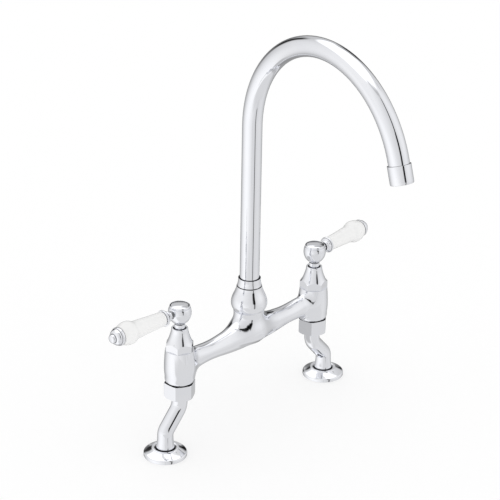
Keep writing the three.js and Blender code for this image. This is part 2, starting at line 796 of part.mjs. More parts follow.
function leverFerrule() {
  const outer = ferruleDiameter / 2;
  const start = ferruleStart;
  const end = ferruleStart + ferruleLength;
  return turnedAlongX([
    [rodHole, start], [stemNeckDiameter / 2 + 0.4, start], [stemNeckDiameter / 2 + 0.9, start + 0.6],
    [stemNeckDiameter / 2 + 0.7, start + ferruleLength * 0.35],
    [outer * 0.66, start + ferruleLength * 0.62], [outer - 0.3, end - 1.6], [outer, end - 1.1],
    [outer, end - 0.3], [outer - 0.4, end], [rodHole, end],
  ]);
}

function leverHandle() {
  const root = handleRootDiameter / 2;
  const waist = handleWaistDiameter / 2;
  const bulge = handleBulgeDiameter / 2;
  const last = handleEndDiameter / 2;
  const at = (share) => handleStart + handleLength * share;
  return turnedAlongX([
    [rodHole, at(0)], [root - 0.4, at(0)], [root, at(0.01)], [(root + waist) / 2, at(0.34)],
    [waist, at(0.655)], [waist + 0.6, at(0.69)], [bulge - 0.5, at(0.755)], [bulge, at(0.815)],
    [bulge - 0.5, at(0.88)], [last + 0.6, at(0.955)], [last - 0.2, at(1)], [rodHole, at(1)],
  ]);
}

function leverEndCap() {
  const outer = endCapDiameter / 2;
  const button = buttonDiameter / 2;
  const bandEnd = endCapStart + endCapBand;
  const domeEnd = bandEnd + endCapDome;
  const end = domeEnd + buttonLength;
  return turnedAlongX([
    [rodHole, endCapStart], [outer - 0.3, endCapStart], [outer, endCapStart + 0.4], [outer, bandEnd - 0.4],
    [outer - 0.7, bandEnd], [outer - 1, bandEnd + endCapDome * 0.45], [outer - 2.6, domeEnd - 0.4],
    [button, domeEnd], [button, domeEnd + buttonLength * 0.6], [button * 0.7, end - 0.2], [0, end],
    [0, stemEnd + gap], [rodHole, stemEnd + gap],
  ]);
}

// ---------------------------------------------------------------- materials

function finish(color, roughness, metalness) {
  return new THREE.MeshStandardMaterial({ color, roughness, metalness });
}

const chrome = () => finish(0xdfe2e8, 0.08, 1);
const brass = () => finish(0xc9a24e, 0.35, 1);
const rubber = () => finish(0x1c1c1e, 0.8, 0);
const glaze = () => finish(0xf6f5f1, 0.12, 0);
const alumina = () => finish(0xe6e2d6, 0.3, 0);
const nylon = () => finish(0xd8d8d2, 0.5, 0);
const fibre = () => finish(0x8a3b2c, 0.85, 0);

// ---------------------------------------------------------------- assembly

const faucet = new THREE.Group();

function add(parent, name, geometry, material) {
  const mesh = new THREE.Mesh(geometry, material);
  mesh.name = name;
  parent.add(mesh);
  return mesh;
}

add(faucet, 'bridge_body', bridgeBody(), chrome());
add(faucet, 'spout_hub', spoutHub(), chrome());

const spout = new THREE.Group();
spout.rotation.z = radians(spoutRestTurn - 90);
faucet.add(spout);
add(spout, 'spout_tube', spoutTube(), chrome());
add(spout, 'spout_collar', spoutCollar(), chrome());
add(spout, 'spout_spigot', spoutSpigot(), brass());
add(spout, 'spout_o_ring_lower', rubberRing(spigotGrooveRadius, lowerRingLevel), rubber());
add(spout, 'spout_o_ring_upper', rubberRing(spigotGrooveRadius, upperRingLevel), rubber());
add(spout, 'spout_slip_ring', ring(spigotGrooveRadius + gap, spigotGrooveRadius + gap + ringSection,
  slipRingBottom, slipRingBottom + slipRingHeight), nylon());

const nozzle = new THREE.Group();
nozzle.position.copy(tip.point);
nozzle.quaternion.setFromUnitVectors(new THREE.Vector3(0, 0, 1), tip.tangent);
spout.add(nozzle);
add(nozzle, 'aerator_housing', aeratorHousing(), chrome());
add(nozzle, 'aerator_gasket', ring(tubeBoreRadius - 1, aeratorRadius, aeratorGasketStart,
  aeratorGasketStart + gasketThickness), rubber());
add(nozzle, 'aerator_insert', aeratorInsert(), nylon());

// One pillar with its valve, lever, union and leg. The threads pull up at a different angle on each
// side, so the hexagons of the nut and the bonnet stand turned by these degrees.
const pillars = [
  { name: 'left', side: -1, nutTurn: 0, bonnetTurn: 7 },
  { name: 'right', side: 1, nutTurn: 16, bonnetTurn: -16 },
];

for (const { name, side, nutTurn, bonnetTurn } of pillars) {
  const pillar = new THREE.Group();
  pillar.position.x = side * halfSpacing;
  faucet.add(pillar);
  const put = (piece, geometry, material) => add(pillar, `${name}_${piece}`, geometry, material);

  put('seat_washer', ring(tailBoreRadius + gap, cartridgeRadius - gap, valveSeat + gap,
    valveSeat + gap + seatWasherThickness), rubber());
  put('valve_cartridge', valveCartridge(), brass());
  put('cartridge_o_ring', rubberRing(cartridgeGrooveRadius, cartridgeRingLevel), rubber());
  put('ceramic_disc_fixed', ceramicDisc(fixedDiscBottom), alumina());
  put('bonnet', bonnet(), chrome()).rotation.z = radians(bonnetTurn);
  put('union_nut', unionNut(), chrome()).rotation.z = radians(nutTurn);
  put('union_washer', ring(tailBoreRadius, tailDiameter / 2 - gap, unionWasherBottom,
    unionWasherBottom + unionWasherThickness), fibre());

  const lever = new THREE.Group();
  lever.rotation.z = side < 0 ? Math.PI - radians(leverRestTurn) : radians(leverRestTurn);
  pillar.add(lever);
  const fix = (piece, geometry, material) => add(lever, `${name}_${piece}`, geometry, material);
  fix('ceramic_disc_turning', ceramicDisc(turningDiscBottom).rotateZ(Math.PI / 2), alumina());
  fix('valve_spindle', valveSpindle(), brass());
  fix('spindle_o_ring', rubberRing(spindleGrooveRadius, spindleRingLevel), rubber());
  fix('lever_head', leverHead(), chrome());
  fix('head_screw', headScrew(), brass());
  fix('index_cap', indexCap(), chrome());
  fix('lever_stem', leverStem(), chrome());
  fix('lever_ferrule', leverFerrule(), chrome());
  fix('lever_handle', leverHandle(), glaze());
  fix('lever_end_cap', leverEndCap(), chrome());

  const leg = new THREE.Group();
  leg.rotation.z = side < 0 ? Math.PI : 0;
  pillar.add(leg);
  const stand = (piece, geometry, material) => add(leg, `${name}_${piece}`, geometry, material);
  stand('crank_pipe', crankPipe(), chrome());
  stand('deck_flange', deckFlange(), chrome());
  stand('flange_gasket', ring(gasketInnerRadius, gasketOuterRadius, 0, flangeGasketThickness)
    .translate(legOffset, 0, 0), rubber());
}

export default faucet;
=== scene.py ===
# %% [markdown]
# # A bridge kitchen faucet in polished chrome
#
# Two lever valves stand on pillars, a cast bridge joins them, and a swan-neck spout turns on the middle
# of the bridge. The solids of the faucet are already there: they come in as a fixed frame, in metres,
# with +Z up and the origin on the worktop between the pillars. This lesson dresses that frame. Chrome
# shows every facet, so each piece that can be seen is modelled again as a smooth mesh in the same place.

import json
from math import atan2, cos, hypot, pi, radians, sin, tau

import bpy
import numpy as np
from mathutils import Matrix, Vector


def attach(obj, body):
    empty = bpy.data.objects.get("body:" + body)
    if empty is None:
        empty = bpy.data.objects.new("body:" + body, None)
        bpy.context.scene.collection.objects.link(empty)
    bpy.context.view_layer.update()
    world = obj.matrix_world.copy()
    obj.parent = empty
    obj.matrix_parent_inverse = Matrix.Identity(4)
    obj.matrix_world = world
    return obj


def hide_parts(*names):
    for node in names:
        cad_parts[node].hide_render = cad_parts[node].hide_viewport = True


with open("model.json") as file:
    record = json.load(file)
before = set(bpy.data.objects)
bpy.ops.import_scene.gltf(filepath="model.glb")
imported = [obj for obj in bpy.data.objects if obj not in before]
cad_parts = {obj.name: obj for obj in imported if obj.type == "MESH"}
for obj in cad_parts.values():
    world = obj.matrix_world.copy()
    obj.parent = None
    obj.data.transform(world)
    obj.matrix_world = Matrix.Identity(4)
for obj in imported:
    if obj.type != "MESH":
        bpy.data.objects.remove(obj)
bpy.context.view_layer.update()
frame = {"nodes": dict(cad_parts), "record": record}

# %% [markdown]
# ## Sizes
#
# Drawings of taps are made in millimetres, so every size below is in millimetres too, and `MM` turns it
# into Blender's metres. The levels are heights above the worktop.

# %% Sizes of the whole faucet
MM = 0.001
PILLAR = 100.0        # distance of each pillar from the middle
LEG_OFFSET = 20.0     # the foot of a leg stands this far outside its pillar
NUT_FOOT, NUT_TOP = 59.2, 75.2
BARREL_FOOT, BARREL_TOP = 75.5, 110.9
HUB_SEAT, HUB_TOP = 119.9, 146.2
COLLAR_FOOT, COLLAR_TOP = 146.5, 155.3
ARCH_LEVEL = 317.9
ARCH_RADIUS = 108.4
ARCH_TURN = 162.2     # degrees of the arch
NOZZLE_RUN = 11.5
SPOUT_TURN = -9.4     # degrees that the spout stands turned towards the left lever
BONNET_TOP = 134.6
BONNET_FLATS, NUT_FLATS = 25.3, 28.0  # across the flats of the hexagons
LEVER_LEVEL = 151.5
LEVER_LEAN = 3.3      # degrees that each closed lever leans back
TUBE_RADIUS, TUBE_BORE = 9.95, 8.9
print("spout: tube of", 2 * TUBE_RADIUS, "mm on an arch of", ARCH_RADIUS, "mm")

# %% [markdown]
# ## Tools of the workshop
#
# Most pieces of a tap are turned on a lathe. The same is done here: a single point is pushed along the
# outline of half the piece by extruding it, and the line it leaves is spun round the axis. Two small
# helpers draw outlines. `flowing` passes a spline with an even change of curvature through a few points,
# because a kink in curvature shows in chrome as a kink in the reflection. `eased` rounds the corners
# between straight runs, because no real edge is perfectly sharp.

# %% Draw outlines
def flowing(points, per_span=8):
    """A natural cubic spline through the points, as a denser list of points."""
    marks = np.array(points, float)
    spans = np.linalg.norm(np.diff(marks, axis=0), axis=1)
    place = np.concatenate([[0], np.cumsum(spans)])
    count = len(marks)
    system = np.eye(count)
    right = np.zeros_like(marks)
    for i in range(1, count - 1):
        before, after = spans[i - 1], spans[i]
        system[i, i - 1:i + 2] = before, 2 * (before + after), after
        right[i] = 6 * ((marks[i + 1] - marks[i]) / after - (marks[i] - marks[i - 1]) / before)
    bend = np.linalg.solve(system, right)
    dense = []
    for i, span in enumerate(spans):
        for step in range(per_span):
            b = step / per_span
            a = 1 - b
            push = ((a**3 - a) * bend[i] + (b**3 - b) * bend[i + 1]) * span**2 / 6
            dense.append(tuple(a * marks[i] + b * marks[i + 1] + push))
    return dense + [tuple(marks[-1])]


def eased(points, radius=0.4, steps=4):
    """Straight runs between the points, with each inner corner rounded."""
    marks = [Vector(p) for p in points]
    line = [tuple(marks[0])]
    for before, corner, after in zip(marks, marks[1:], marks[2:]):
        back, ahead = before - corner, after - corner
        reach = min(radius, back.length / 2.2, ahead.length / 2.2)
        start = corner + back.normalized() * reach
        end = corner + ahead.normalized() * reach
        for step in range(steps + 1):
            t = step / steps
            point = start * (1 - t) ** 2 + corner * 2 * t * (1 - t) + end * t**2
            line.append(tuple(point))
    return line + [tuple(marks[-1])]


# %% [markdown]
# The Screw modifier could turn an outline too, but extrude and spin in edit mode show each step and leave a
# plain mesh. Each outline is closed or has both ends on the axis, so the skin has no hole, and merging by
# distance closes the seam and the poles.

# %% Turn a piece on the lathe
def nothing_selected():
    bpy.ops.object.select_all(action="DESELECT")


def only(piece, *others):
    """Selects these pieces alone. The first is the active one."""
    nothing_selected()
    for each in (piece, *others):
        each.select_set(True)
    bpy.context.view_layer.objects.active = piece


def face_outward():
    bpy.ops.mesh.select_all(action="SELECT")
    bpy.ops.mesh.normals_make_consistent(inside=False)


def open_ring(name, radius, place, vertices=64):
    """Starts a piece as one open circle, in edit mode. Radius and place are in metres."""
    nothing_selected()
    bpy.ops.mesh.primitive_circle_add(vertices=vertices, radius=radius, location=place)
    piece = bpy.context.object
    piece.name = piece.data.name = name
    bpy.ops.object.transform_apply(location=True)
    bpy.ops.object.mode_set(mode="EDIT")
    bpy.ops.mesh.select_all(action="SELECT")
    return piece


def pushed(step):
    """Extrudes what is selected, by a step in millimetres."""
    bpy.ops.mesh.extrude_region_move(TRANSFORM_OT_translate={"value": Vector(step) * MM})


def finish_piece(piece, sharp=30):
    """Leaves edit mode, with a smooth skin that keeps its real edges."""
    if bpy.context.mode != "OBJECT":
        bpy.ops.object.mode_set(mode="OBJECT")
    only(piece)
    bpy.ops.object.shade_smooth_by_angle(angle=radians(sharp))
    return piece


def turned(name, outline, steps=96, sharp=30):
    """Spins an outline of (radius, height) round the Z axis. It is closed, or has both ends on the axis."""
    marks = [Vector((radius * MM, 0, height * MM)) for radius, height in outline]
    piece = open_ring(name, 0.01 * MM, marks[0], 3)
    bpy.ops.mesh.merge(type="CENTER")
    for before, after in zip(marks, marks[1:]):
        if (after - before).length > 1e-6:
            bpy.ops.mesh.extrude_region_move(TRANSFORM_OT_translate={"value": after - before})
    bpy.ops.mesh.select_all(action="SELECT")
    bpy.ops.mesh.spin(steps=steps, angle=tau, center=(0, 0, 0), axis=(0, 0, 1))
    bpy.ops.mesh.select_all(action="SELECT")
    bpy.ops.mesh.remove_doubles(threshold=1e-6)
    face_outward()
    return finish_piece(piece, sharp)


def closed(outline):
    return outline + outline[:1]


# %% [markdown]
# ## Seams and places
#
# Where two pieces of a real tap meet there is a hairline gap, with grime in it and shade falling into it,
# which reads as a dark line. A gap that thin would drown in the blur of the reflections, so the points beside
# a joint get a number of their own, an attribute, and the chrome turns dark and dull by it: painted shade,
# with grime.

# %% Mark the seams for painted shade and grime
def shade_and_grime_marked(piece, *bands):
    """Marks points beside the seams for painted shade and grime: those between two heights and two radii, all
    in millimetres.
    """
    seam_shade_and_grime = piece.data.attributes.new("seam_shade_and_grime", "FLOAT", "POINT")
    for point, mark in zip(piece.data.vertices, seam_shade_and_grime.data):
        x, y, z = point.co / MM
        mark.value = any(low <= z <= high and inner <= hypot(x, y) <= outer
                         for low, high, inner, outer in bands)
    return piece


# %% [markdown]
# A piece is modelled upright in the middle of the scene, where its numbers are simple, and is then moved.
# Applying the move keeps every object at the origin, so a piece swings about the right axis when its body
# turns. A repeat is a copy with a mesh of its own.

# %% Put a piece in its place
def placed(piece, turn=0.0, move=(0, 0, 0), matrix=None):
    """Turns a piece by degrees about Z and moves it in millimetres, and leaves its object at the origin."""
    place = Matrix.Translation(Vector(move) * MM) @ Matrix.Rotation(radians(turn), 4, "Z")
    piece.matrix_world = place if matrix is None else place @ matrix
    only(piece)
    bpy.ops.object.transform_apply(location=True, rotation=True, scale=True)
    return piece


def twin(piece, name):
    """A copy with its own mesh."""
    copy = piece.copy()
    copy.data = piece.data.copy()
    copy.name = copy.data.name = name
    bpy.context.scene.collection.objects.link(copy)
    return copy


def hand_over(piece, body, slot, *nodes):
    """The piece rides on its body, takes the finish of its slot and stands for its CAD nodes."""
    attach(piece, body)
    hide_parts(*nodes)
    piece.data.materials.clear()
    piece.data.materials.append(FINISHES[slot])
    print(f"{piece.name}: {len(piece.data.polygons)} faces on {body}")
    return piece


def cut_with(piece, cutter, operation):
    """Applies a Boolean and takes the cutter away."""
    only(piece)
    knife = piece.modifiers.new("knife", "BOOLEAN")
    knife.object, knife.operation, knife.solver = cutter, operation, "EXACT"
    bpy.ops.object.modifier_apply(modifier=knife.name)
    bpy.data.objects.remove(cutter)
    return piece


# %% [markdown]
# ## Finishes
#
# A material is a sheet of nodes. Written out one node at a time it is hard to read, so one small class
# wraps a socket: sums and products of sockets then read as sums and products, and each operator adds its
# Math node. A second class adds any other node with its settings and inputs.

# %% Write shader sheets as sums
class Socket:
    """One output of a node, which can be added, multiplied and so on."""

    def __init__(self, sheet, socket):
        self.sheet, self.socket = sheet, socket

    def maths(self, operation, first, second):
        return self.sheet.node("ShaderNodeMath", {"operation": operation}, {0: first, 1: second})

    def __add__(self, other):
        return self.maths("ADD", self, other)

    def __sub__(self, other):
        return self.maths("SUBTRACT", self, other)

    def __rsub__(self, other):
        return self.maths("SUBTRACT", other, self)

    def __mul__(self, other):
        return self.maths("MULTIPLY", self, other)

    def __truediv__(self, other):
        return self.maths("DIVIDE", self, other)

    __radd__ = __add__
    __rmul__ = __mul__


class Sheet:
    """A node tree. node() sets a new node up and gives one of its outputs."""

    def __init__(self, tree):
        self.tree = tree
        tree.nodes.clear()

    def node(self, kind, settings=None, inputs=None, output=0):
        made = self.tree.nodes.new(kind)
        for name, value in (settings or {}).items():
            if name == "stops":
                self.colour_stops(made.color_ramp, value)
            else:
                setattr(made, name, value)
        for key, value in (inputs or {}).items():
            if isinstance(value, Socket):
                self.tree.links.new(value.socket, made.inputs[key])
            else:
                made.inputs[key].default_value = value
        return Socket(self, made.outputs[output])

    @staticmethod
    def colour_stops(ramp, stops):
        while len(ramp.elements) > 1:
            ramp.elements.remove(ramp.elements[-1])
        for index, (place, colour) in enumerate(stops):
            element = ramp.elements[0] if index == 0 else ramp.elements.new(place)
            element.position, element.color = place, colour

    def show(self, shader, kind):
        """Links a shader to the sheet's output, which is of that kind."""
        target = self.tree.nodes.new("ShaderNodeOutput" + kind)
        self.tree.links.new(shader.socket, target.inputs["Surface"])

    def mixed(self, factor, first, second):
        """Two colours, mixed."""
        return self.node("ShaderNodeMix", {"data_type": "RGBA"}, {0: factor, 6: first, 7: second}, output=2)

    def noise(self, place, scale, detail=3.0, roughness=0.5):
        return self.node("ShaderNodeTexNoise", None,
                         {"Vector": place, "Scale": scale, "Detail": detail, "Roughness": roughness})

    def choice(self, factor, first, second):
        """Two shaders, mixed."""
        return self.node("ShaderNodeMixShader", None, {0: factor, 1: first, 2: second})

    def smooth_step(self, value, low, high):
        """0 below low, 1 above high, and a soft rise between them."""
        return self.node("ShaderNodeMapRange", {"interpolation_type": "SMOOTHSTEP"},
                         {"Value": value, "From Min": low, "From Max": high})


def grey(level):
    return (level, level, level, 1.0)


# %% [markdown]
# Polished chrome is a mirror with a cool tint. What makes it real is what a cloth leaves behind: a faint
# haze that comes and goes over a few centimetres, fine wiping marks under a millimetre, and plating that
# is a little uneven. All three are small, so the reflections stay sharp.

# %% Polished chrome
def principled(name, constants, drawing):
    """A Principled material. `constants` go on its sockets, and drawing(sheet) returns what varies."""
    material = bpy.data.materials.new(name)
    material.use_nodes = True
    sheet = Sheet(material.node_tree)
    inputs = dict(constants)
    inputs.update(drawing(sheet))
    sheet.show(sheet.node("ShaderNodeBsdfPrincipled", None, inputs), "Material")
    print("finish:", name)
    return material


def bumped(sheet, height, distance):
    return sheet.node("ShaderNodeBump", None, {"Strength": 1.0, "Distance": distance, "Height": height})


def chrome_drawing(sheet):
    place = sheet.node("ShaderNodeTexCoord", output=3)
    haze = sheet.noise(place, 38.0, detail=4.0)
    wiping = sheet.noise(place, 900.0, detail=5.0, roughness=0.7)
    plating = sheet.noise(place, 160.0, detail=2.0)
    # points beside the seams turn the chrome dark and dull: painted shade of the gaps, with grime
    seam_shade_and_grime = sheet.node("ShaderNodeAttribute", {"attribute_name": "seam_shade_and_grime"}, output=2)
    tint = sheet.mixed(sheet.smooth_step(haze, 0.35, 0.7), (0.866, 0.876, 0.912, 1), (0.884, 0.892, 0.922, 1))
    return {
        "Base Color": sheet.mixed(seam_shade_and_grime * (0.9 + wiping * 0.1), tint, (0.02, 0.02, 0.022, 1)),
        "Roughness": 0.035 + haze * 0.03 + wiping * 0.02 + seam_shade_and_grime * 0.3,
        "Normal": bumped(sheet, plating + wiping * 0.25, 0.004 * MM),
    }


FINISHES = {"chrome": principled("polished chrome", {"Metallic": 1.0}, chrome_drawing)}


# %% [markdown]
# The handles are porcelain under a clear glaze. The glaze pools in very slight waves, the body under it
# is a warm white with a few pale specks, and handling has dulled the shine a little here and there.

# %% White glazed porcelain
def porcelain_drawing(sheet):
    place = sheet.node("ShaderNodeTexCoord", output=3)
    pooled = sheet.noise(place, 70.0, detail=2.0)
    handled = sheet.noise(place, 240.0, detail=4.0, roughness=0.6)
    specks = sheet.smooth_step(sheet.noise(place, 1500.0, detail=1.0), 0.70, 0.78)
    body = sheet.mixed(pooled, (0.87, 0.87, 0.865, 1), (0.91, 0.91, 0.905, 1))
    return {
        "Base Color": sheet.mixed(specks * 0.35, body, (0.78, 0.76, 0.72, 1)),
        "Roughness": 0.12 + handled * 0.12,
        "Normal": bumped(sheet, pooled + handled * 0.1, 0.02 * MM),
    }


FINISHES["glaze"] = principled(
    "white glazed porcelain", {"Coat Weight": 0.2, "Coat Roughness": 0.05, "Specular IOR Level": 0.3},
    porcelain_drawing)


# %% [markdown]
# Inside the valves and the spout seat are machined brass, moulded rubber and nylon, lapped alumina discs
# and fibre washers. They hardly show, but each still has its own grain: turning rings on the brass,
# bloom on the rubber, a satin mould skin on the nylon.

# %% Machined brass
def brass_drawing(sheet):
    place = sheet.node("ShaderNodeTexCoord", output=3)
    rings = sheet.node("ShaderNodeTexWave", {"wave_type": "BANDS", "bands_direction": "Z"},
                       {"Vector": place, "Scale": 900.0, "Distortion": 1.5})
    tarnish = sheet.noise(place, 90.0, detail=5.0)
    tint = sheet.mixed(sheet.smooth_step(tarnish, 0.3, 0.75), (0.80, 0.62, 0.30, 1), (0.55, 0.38, 0.17, 1))
    return {"Base Color": tint, "Roughness": 0.22 + tarnish * 0.25, "Normal": bumped(sheet, rings, 0.01 * MM)}


FINISHES["brass"] = principled("machined brass", {"Metallic": 1.0}, brass_drawing)


# %% Moulded rubber, nylon, alumina and fibre
def moulded(low, high, rough, grain, depth):
    """A moulded or pressed finish between two colours, with a grain of that scale and depth."""
    def drawing(sheet):
        place = sheet.node("ShaderNodeTexCoord", output=3)
        cloud = sheet.noise(place, grain * 0.12, detail=3.0)
        skin = sheet.noise(place, grain, detail=4.0, roughness=0.65)
        return {
            "Base Color": sheet.mixed(cloud * 0.6 + skin * 0.4, low, high),
            "Roughness": rough + skin * 0.18,
            "Normal": bumped(sheet, skin, depth * MM),
        }
    return drawing


FINISHES["rubber"] = principled("moulded black rubber", {}, moulded(
    (0.018, 0.018, 0.02, 1), (0.045, 0.045, 0.048, 1), 0.6, 1400.0, 0.05))
FINISHES["nylon"] = principled("moulded nylon", {}, moulded(
    (0.70, 0.70, 0.67, 1), (0.80, 0.80, 0.77, 1), 0.35, 1100.0, 0.03))
FINISHES["alumina"] = principled("lapped alumina", {}, moulded(
    (0.78, 0.76, 0.70, 1), (0.86, 0.84, 0.79, 1), 0.18, 1800.0, 0.01))
FINISHES["fibre"] = principled("pressed red fibre", {}, moulded(
    (0.20, 0.045, 0.03, 1), (0.36, 0.10, 0.07, 1), 0.7, 900.0, 0.08))

# %% [markdown]
# The pieces inside the valves stay the solids of the frame, because they are hidden. They only need their
# finish, looked up by the slot that the frame names for each.

# %% Give every CAD node its finish
slots = {part["node"]: part["material_slot"] for part in frame["record"]["subparts"]}
for name, node in frame["nodes"].items():
    node.data.materials.clear()
    node.data.materials.append(FINISHES[slots[name]])
print("finished:", len(slots), "nodes with", len(FINISHES), "finishes")

# %% [markdown]
# ## The bridge casting
#
# The real bridge is one casting. The pattern maker turns two barrels and a boss, carves the arms and then
# fills every inside corner with wax, so that the metal flows. The steps are the same here. The rough
# forms are turned and extruded, joined and remeshed into one even skin. Then each point of that skin is
# moved onto the waxed form: the distance to the barrels, to the boss and to the arms is blended with a
# smooth minimum, which is round wherever two forms meet. Flat seats are cut last with bisect.

# %% Forms of the casting, as functions of a point
BARREL_OUTLINE = [(13.2, 75.5), (14.25, 76.6), (14.9, 81.0), (15.35, 87.0), (15.45, 93.0), (15.25, 99.5),
                  (14.85, 106.0), (14.35, 110.9)]
BOSS_FOOT = 88.0
BOSS_OUTLINE = [(11.6, BOSS_FOOT), (13.6, 96.0), (14.0, 104.0), (13.45, 112.0), (14.6, 117.0), (15.35, 119.9)]
# distance from the middle, height of the arm's centre, half height and half width
ARM_STATIONS = [(0, 91.8, 10.9, 12.2), (14, 92.4, 11.7, 11.6), (26, 93.3, 12.1, 11.3), (36, 93.5, 11.5, 10.8),
                (50, 93.6, 10.0, 9.8), (60, 93.8, 9.7, 9.5), (70, 94.0, 10.2, 9.5), (78, 93.6, 11.3, 9.3),
                (84, 92.2, 12.4, 9.3), (89, 90.8, 13.0, 9.3), (100, 90.2, 13.4, 9.3)]
# how far the wax reaches beside the boss, low down and high up, the level between, and beside a barrel
WAX_LOW, WAX_HIGH, WAX_LEVEL, WAX_BARREL = 4.8, 24.1, 89.0, 8.0


def radius_at(outline, level):
    line = np.array(flowing(outline, 12))
    return np.interp(level, line[:, 1], line[:, 0])


def blended(first, second, reach):
    """The smaller of two distances, with a round corner of about that reach where they meet."""
    overlap = np.clip(reach - np.abs(first - second), 0, None) / reach
    return np.minimum(first, second) - overlap**2 * reach / 4


def casting_distance(points):
    """About how far each point lies outside the waxed casting, in millimetres."""
    x, y, z = points.T
    away = np.abs(x)
    stations = np.array(flowing(ARM_STATIONS, 12))
    centre, high, wide = (np.interp(away, stations[:, 0], stations[:, i]) for i in (1, 2, 3))
    across = np.sqrt((y / wide) ** 2 + ((z - centre) / high) ** 2)
    arm = np.maximum((across - 1) * np.minimum(high, wide), away - PILLAR)
    boss = np.hypot(x, y) - radius_at(BOSS_OUTLINE, z)
    boss = np.maximum(boss, BOSS_FOOT - z)
    barrel = np.hypot(away - PILLAR, y) - radius_at(BARREL_OUTLINE, z)
    upper = 1 / (1 + np.exp(-(z - WAX_LEVEL) / 1.5))
    body = blended(arm, boss, WAX_LOW + (WAX_HIGH - WAX_LOW) * upper)
    return blended(body, barrel, WAX_BARREL)


# %% [markdown]
# The arms are a bar whose rings are pushed along and resized, and barrels and boss are lathe work. Joined,
# they only pass through each other. A voxel remesh melts them into one closed skin of even faces, which the
# next step can bend without folds.

# %% Rough forms, joined and remeshed
def extruded_arm():
    """A round bar along X whose rings are stretched to the stations of both arms."""
    half = ARM_STATIONS[1:]
    bar = [(-x, *rest) for x, *rest in reversed(half)] + [ARM_STATIONS[0]] + list(half)
    nothing_selected()
    x, centre, high, wide = bar[0]
    bpy.ops.mesh.primitive_circle_add(vertices=32, radius=high * MM, fill_type="NGON",
                                      location=(x * MM, 0, centre * MM), rotation=(0, pi / 2, 0))
    piece = bpy.context.object
    bpy.ops.object.transform_apply(location=True, rotation=True)
    bpy.ops.object.mode_set(mode="EDIT")
    bpy.ops.mesh.select_all(action="SELECT")
    for before, after in zip(bar, bar[1:]):
        pushed((after[0] - before[0], 0, after[1] - before[1]))
        bpy.ops.transform.resize(value=(1, after[3] / before[3], after[2] / before[2]),
                                 center_override=Vector((after[0], 0, after[1])) * MM)
    face_outward()
    bpy.ops.object.mode_set(mode="OBJECT")
    return piece


def on_axis(outline):
    return [(0, outline[0][1]), *outline, (0, outline[-1][1])]


OVERRUN = 1.5  # the rough forms stand this far past their flat seats
casting = extruded_arm()
casting.name = casting.data.name = "bridge_casting"
boss_rough = on_axis(BOSS_OUTLINE[:-1] + [(15.5, HUB_SEAT + OVERRUN)])
barrel_rough = on_axis([(13.2, BARREL_FOOT - OVERRUN)] + BARREL_OUTLINE[1:-1]
                       + [(14.3, BARREL_TOP + OVERRUN)])
rough = [turned("boss", boss_rough, 48)]
for side in (-1, 1):
    rough.append(placed(turned("barrel", barrel_rough, 48), move=(side * PILLAR, 0, 0)))
only(casting, *rough)
bpy.ops.object.join()
skin = casting.modifiers.new("skin", "REMESH")
skin.mode, skin.voxel_size = "VOXEL", 0.75 * MM
bpy.ops.object.modifier_apply(modifier=skin.name)
print("rough casting:", len(casting.data.vertices), "points")


# %% [markdown]
# Each point now walks down the slope of the distance until it lies on the waxed form. A Shrinkwrap modifier
# does the same onto a mesh, but a formula keeps the fillets smooth at any size.

# %% Fill the corners
def slopes(function, points, step=0.02):
    """How fast the function grows along X, Y and Z."""
    return np.stack([(function(points + step * axis) - function(points - step * axis)) / (2 * step)
                     for axis in np.eye(3)], axis=1)


def points_of(mesh):
    """The points of a mesh, in millimetres."""
    flat = np.empty(len(mesh.vertices) * 3)
    mesh.vertices.foreach_get("co", flat)
    return flat.reshape(-1, 3) / MM


points = points_of(casting.data)
for _ in range(8):
    slope = slopes(casting_distance, points)
    gap = casting_distance(points)
    move = -gap[:, None] * slope / np.maximum((slope**2).sum(1), 0.05)[:, None]
    length = np.linalg.norm(move, axis=1)[:, None]
    points += move * np.minimum(1, 1.2 / np.maximum(length, 1e-9))
casting.data.vertices.foreach_set("co", (points * MM).ravel())
casting.data.update()
between_seats = (points[:, 2] > BARREL_FOOT + 1) & (points[:, 2] < BARREL_TOP - 1)
off_form = np.abs(casting_distance(points[between_seats]))
print("off the waxed form:", round(float(np.percentile(off_form, 99)), 4), "mm for 99 points in 100")


# %% [markdown]
# Machined seats are flat with a crisp edge. A Boolean could cut them, but bisect takes only the faces near
# the seat and fills the cut in one go.

# %% Cut the flat seats
SEAT_REACH, SEAT_DEPTH = 24, 6  # only faces this near to a seat are cut


def cut_flat(piece, level, keep, where):
    """Cuts the part of a piece near `where` flat at that level, and closes the cut."""
    only(piece)
    bpy.ops.object.mode_set(mode="EDIT")
    bpy.ops.mesh.select_all(action="DESELECT")
    bpy.ops.object.mode_set(mode="OBJECT")
    for face in piece.data.polygons:
        x, y, z = Vector(face.center) / MM
        face.select = hypot(x - where, y) < SEAT_REACH and abs(z - level) < SEAT_DEPTH
    bpy.ops.object.mode_set(mode="EDIT")
    bpy.ops.mesh.bisect(plane_co=(0, 0, level * MM), plane_no=(0, 0, 1), use_fill=True,
                        clear_outer=keep == "below", clear_inner=keep == "above")
    bpy.ops.object.mode_set(mode="OBJECT")


cut_flat(casting, HUB_SEAT, "below", 0)
for side in (-1, 1):
    cut_flat(casting, BARREL_TOP, "below", side * PILLAR)
    cut_flat(casting, BARREL_FOOT, "above", side * PILLAR)
finish_piece(casting, 50)


# %% [markdown]
# Even a fine mesh shows its faces in chrome. The slope of the distance is the exact normal of the form, so
# it is written into the mesh, and only the flat seats keep their own.

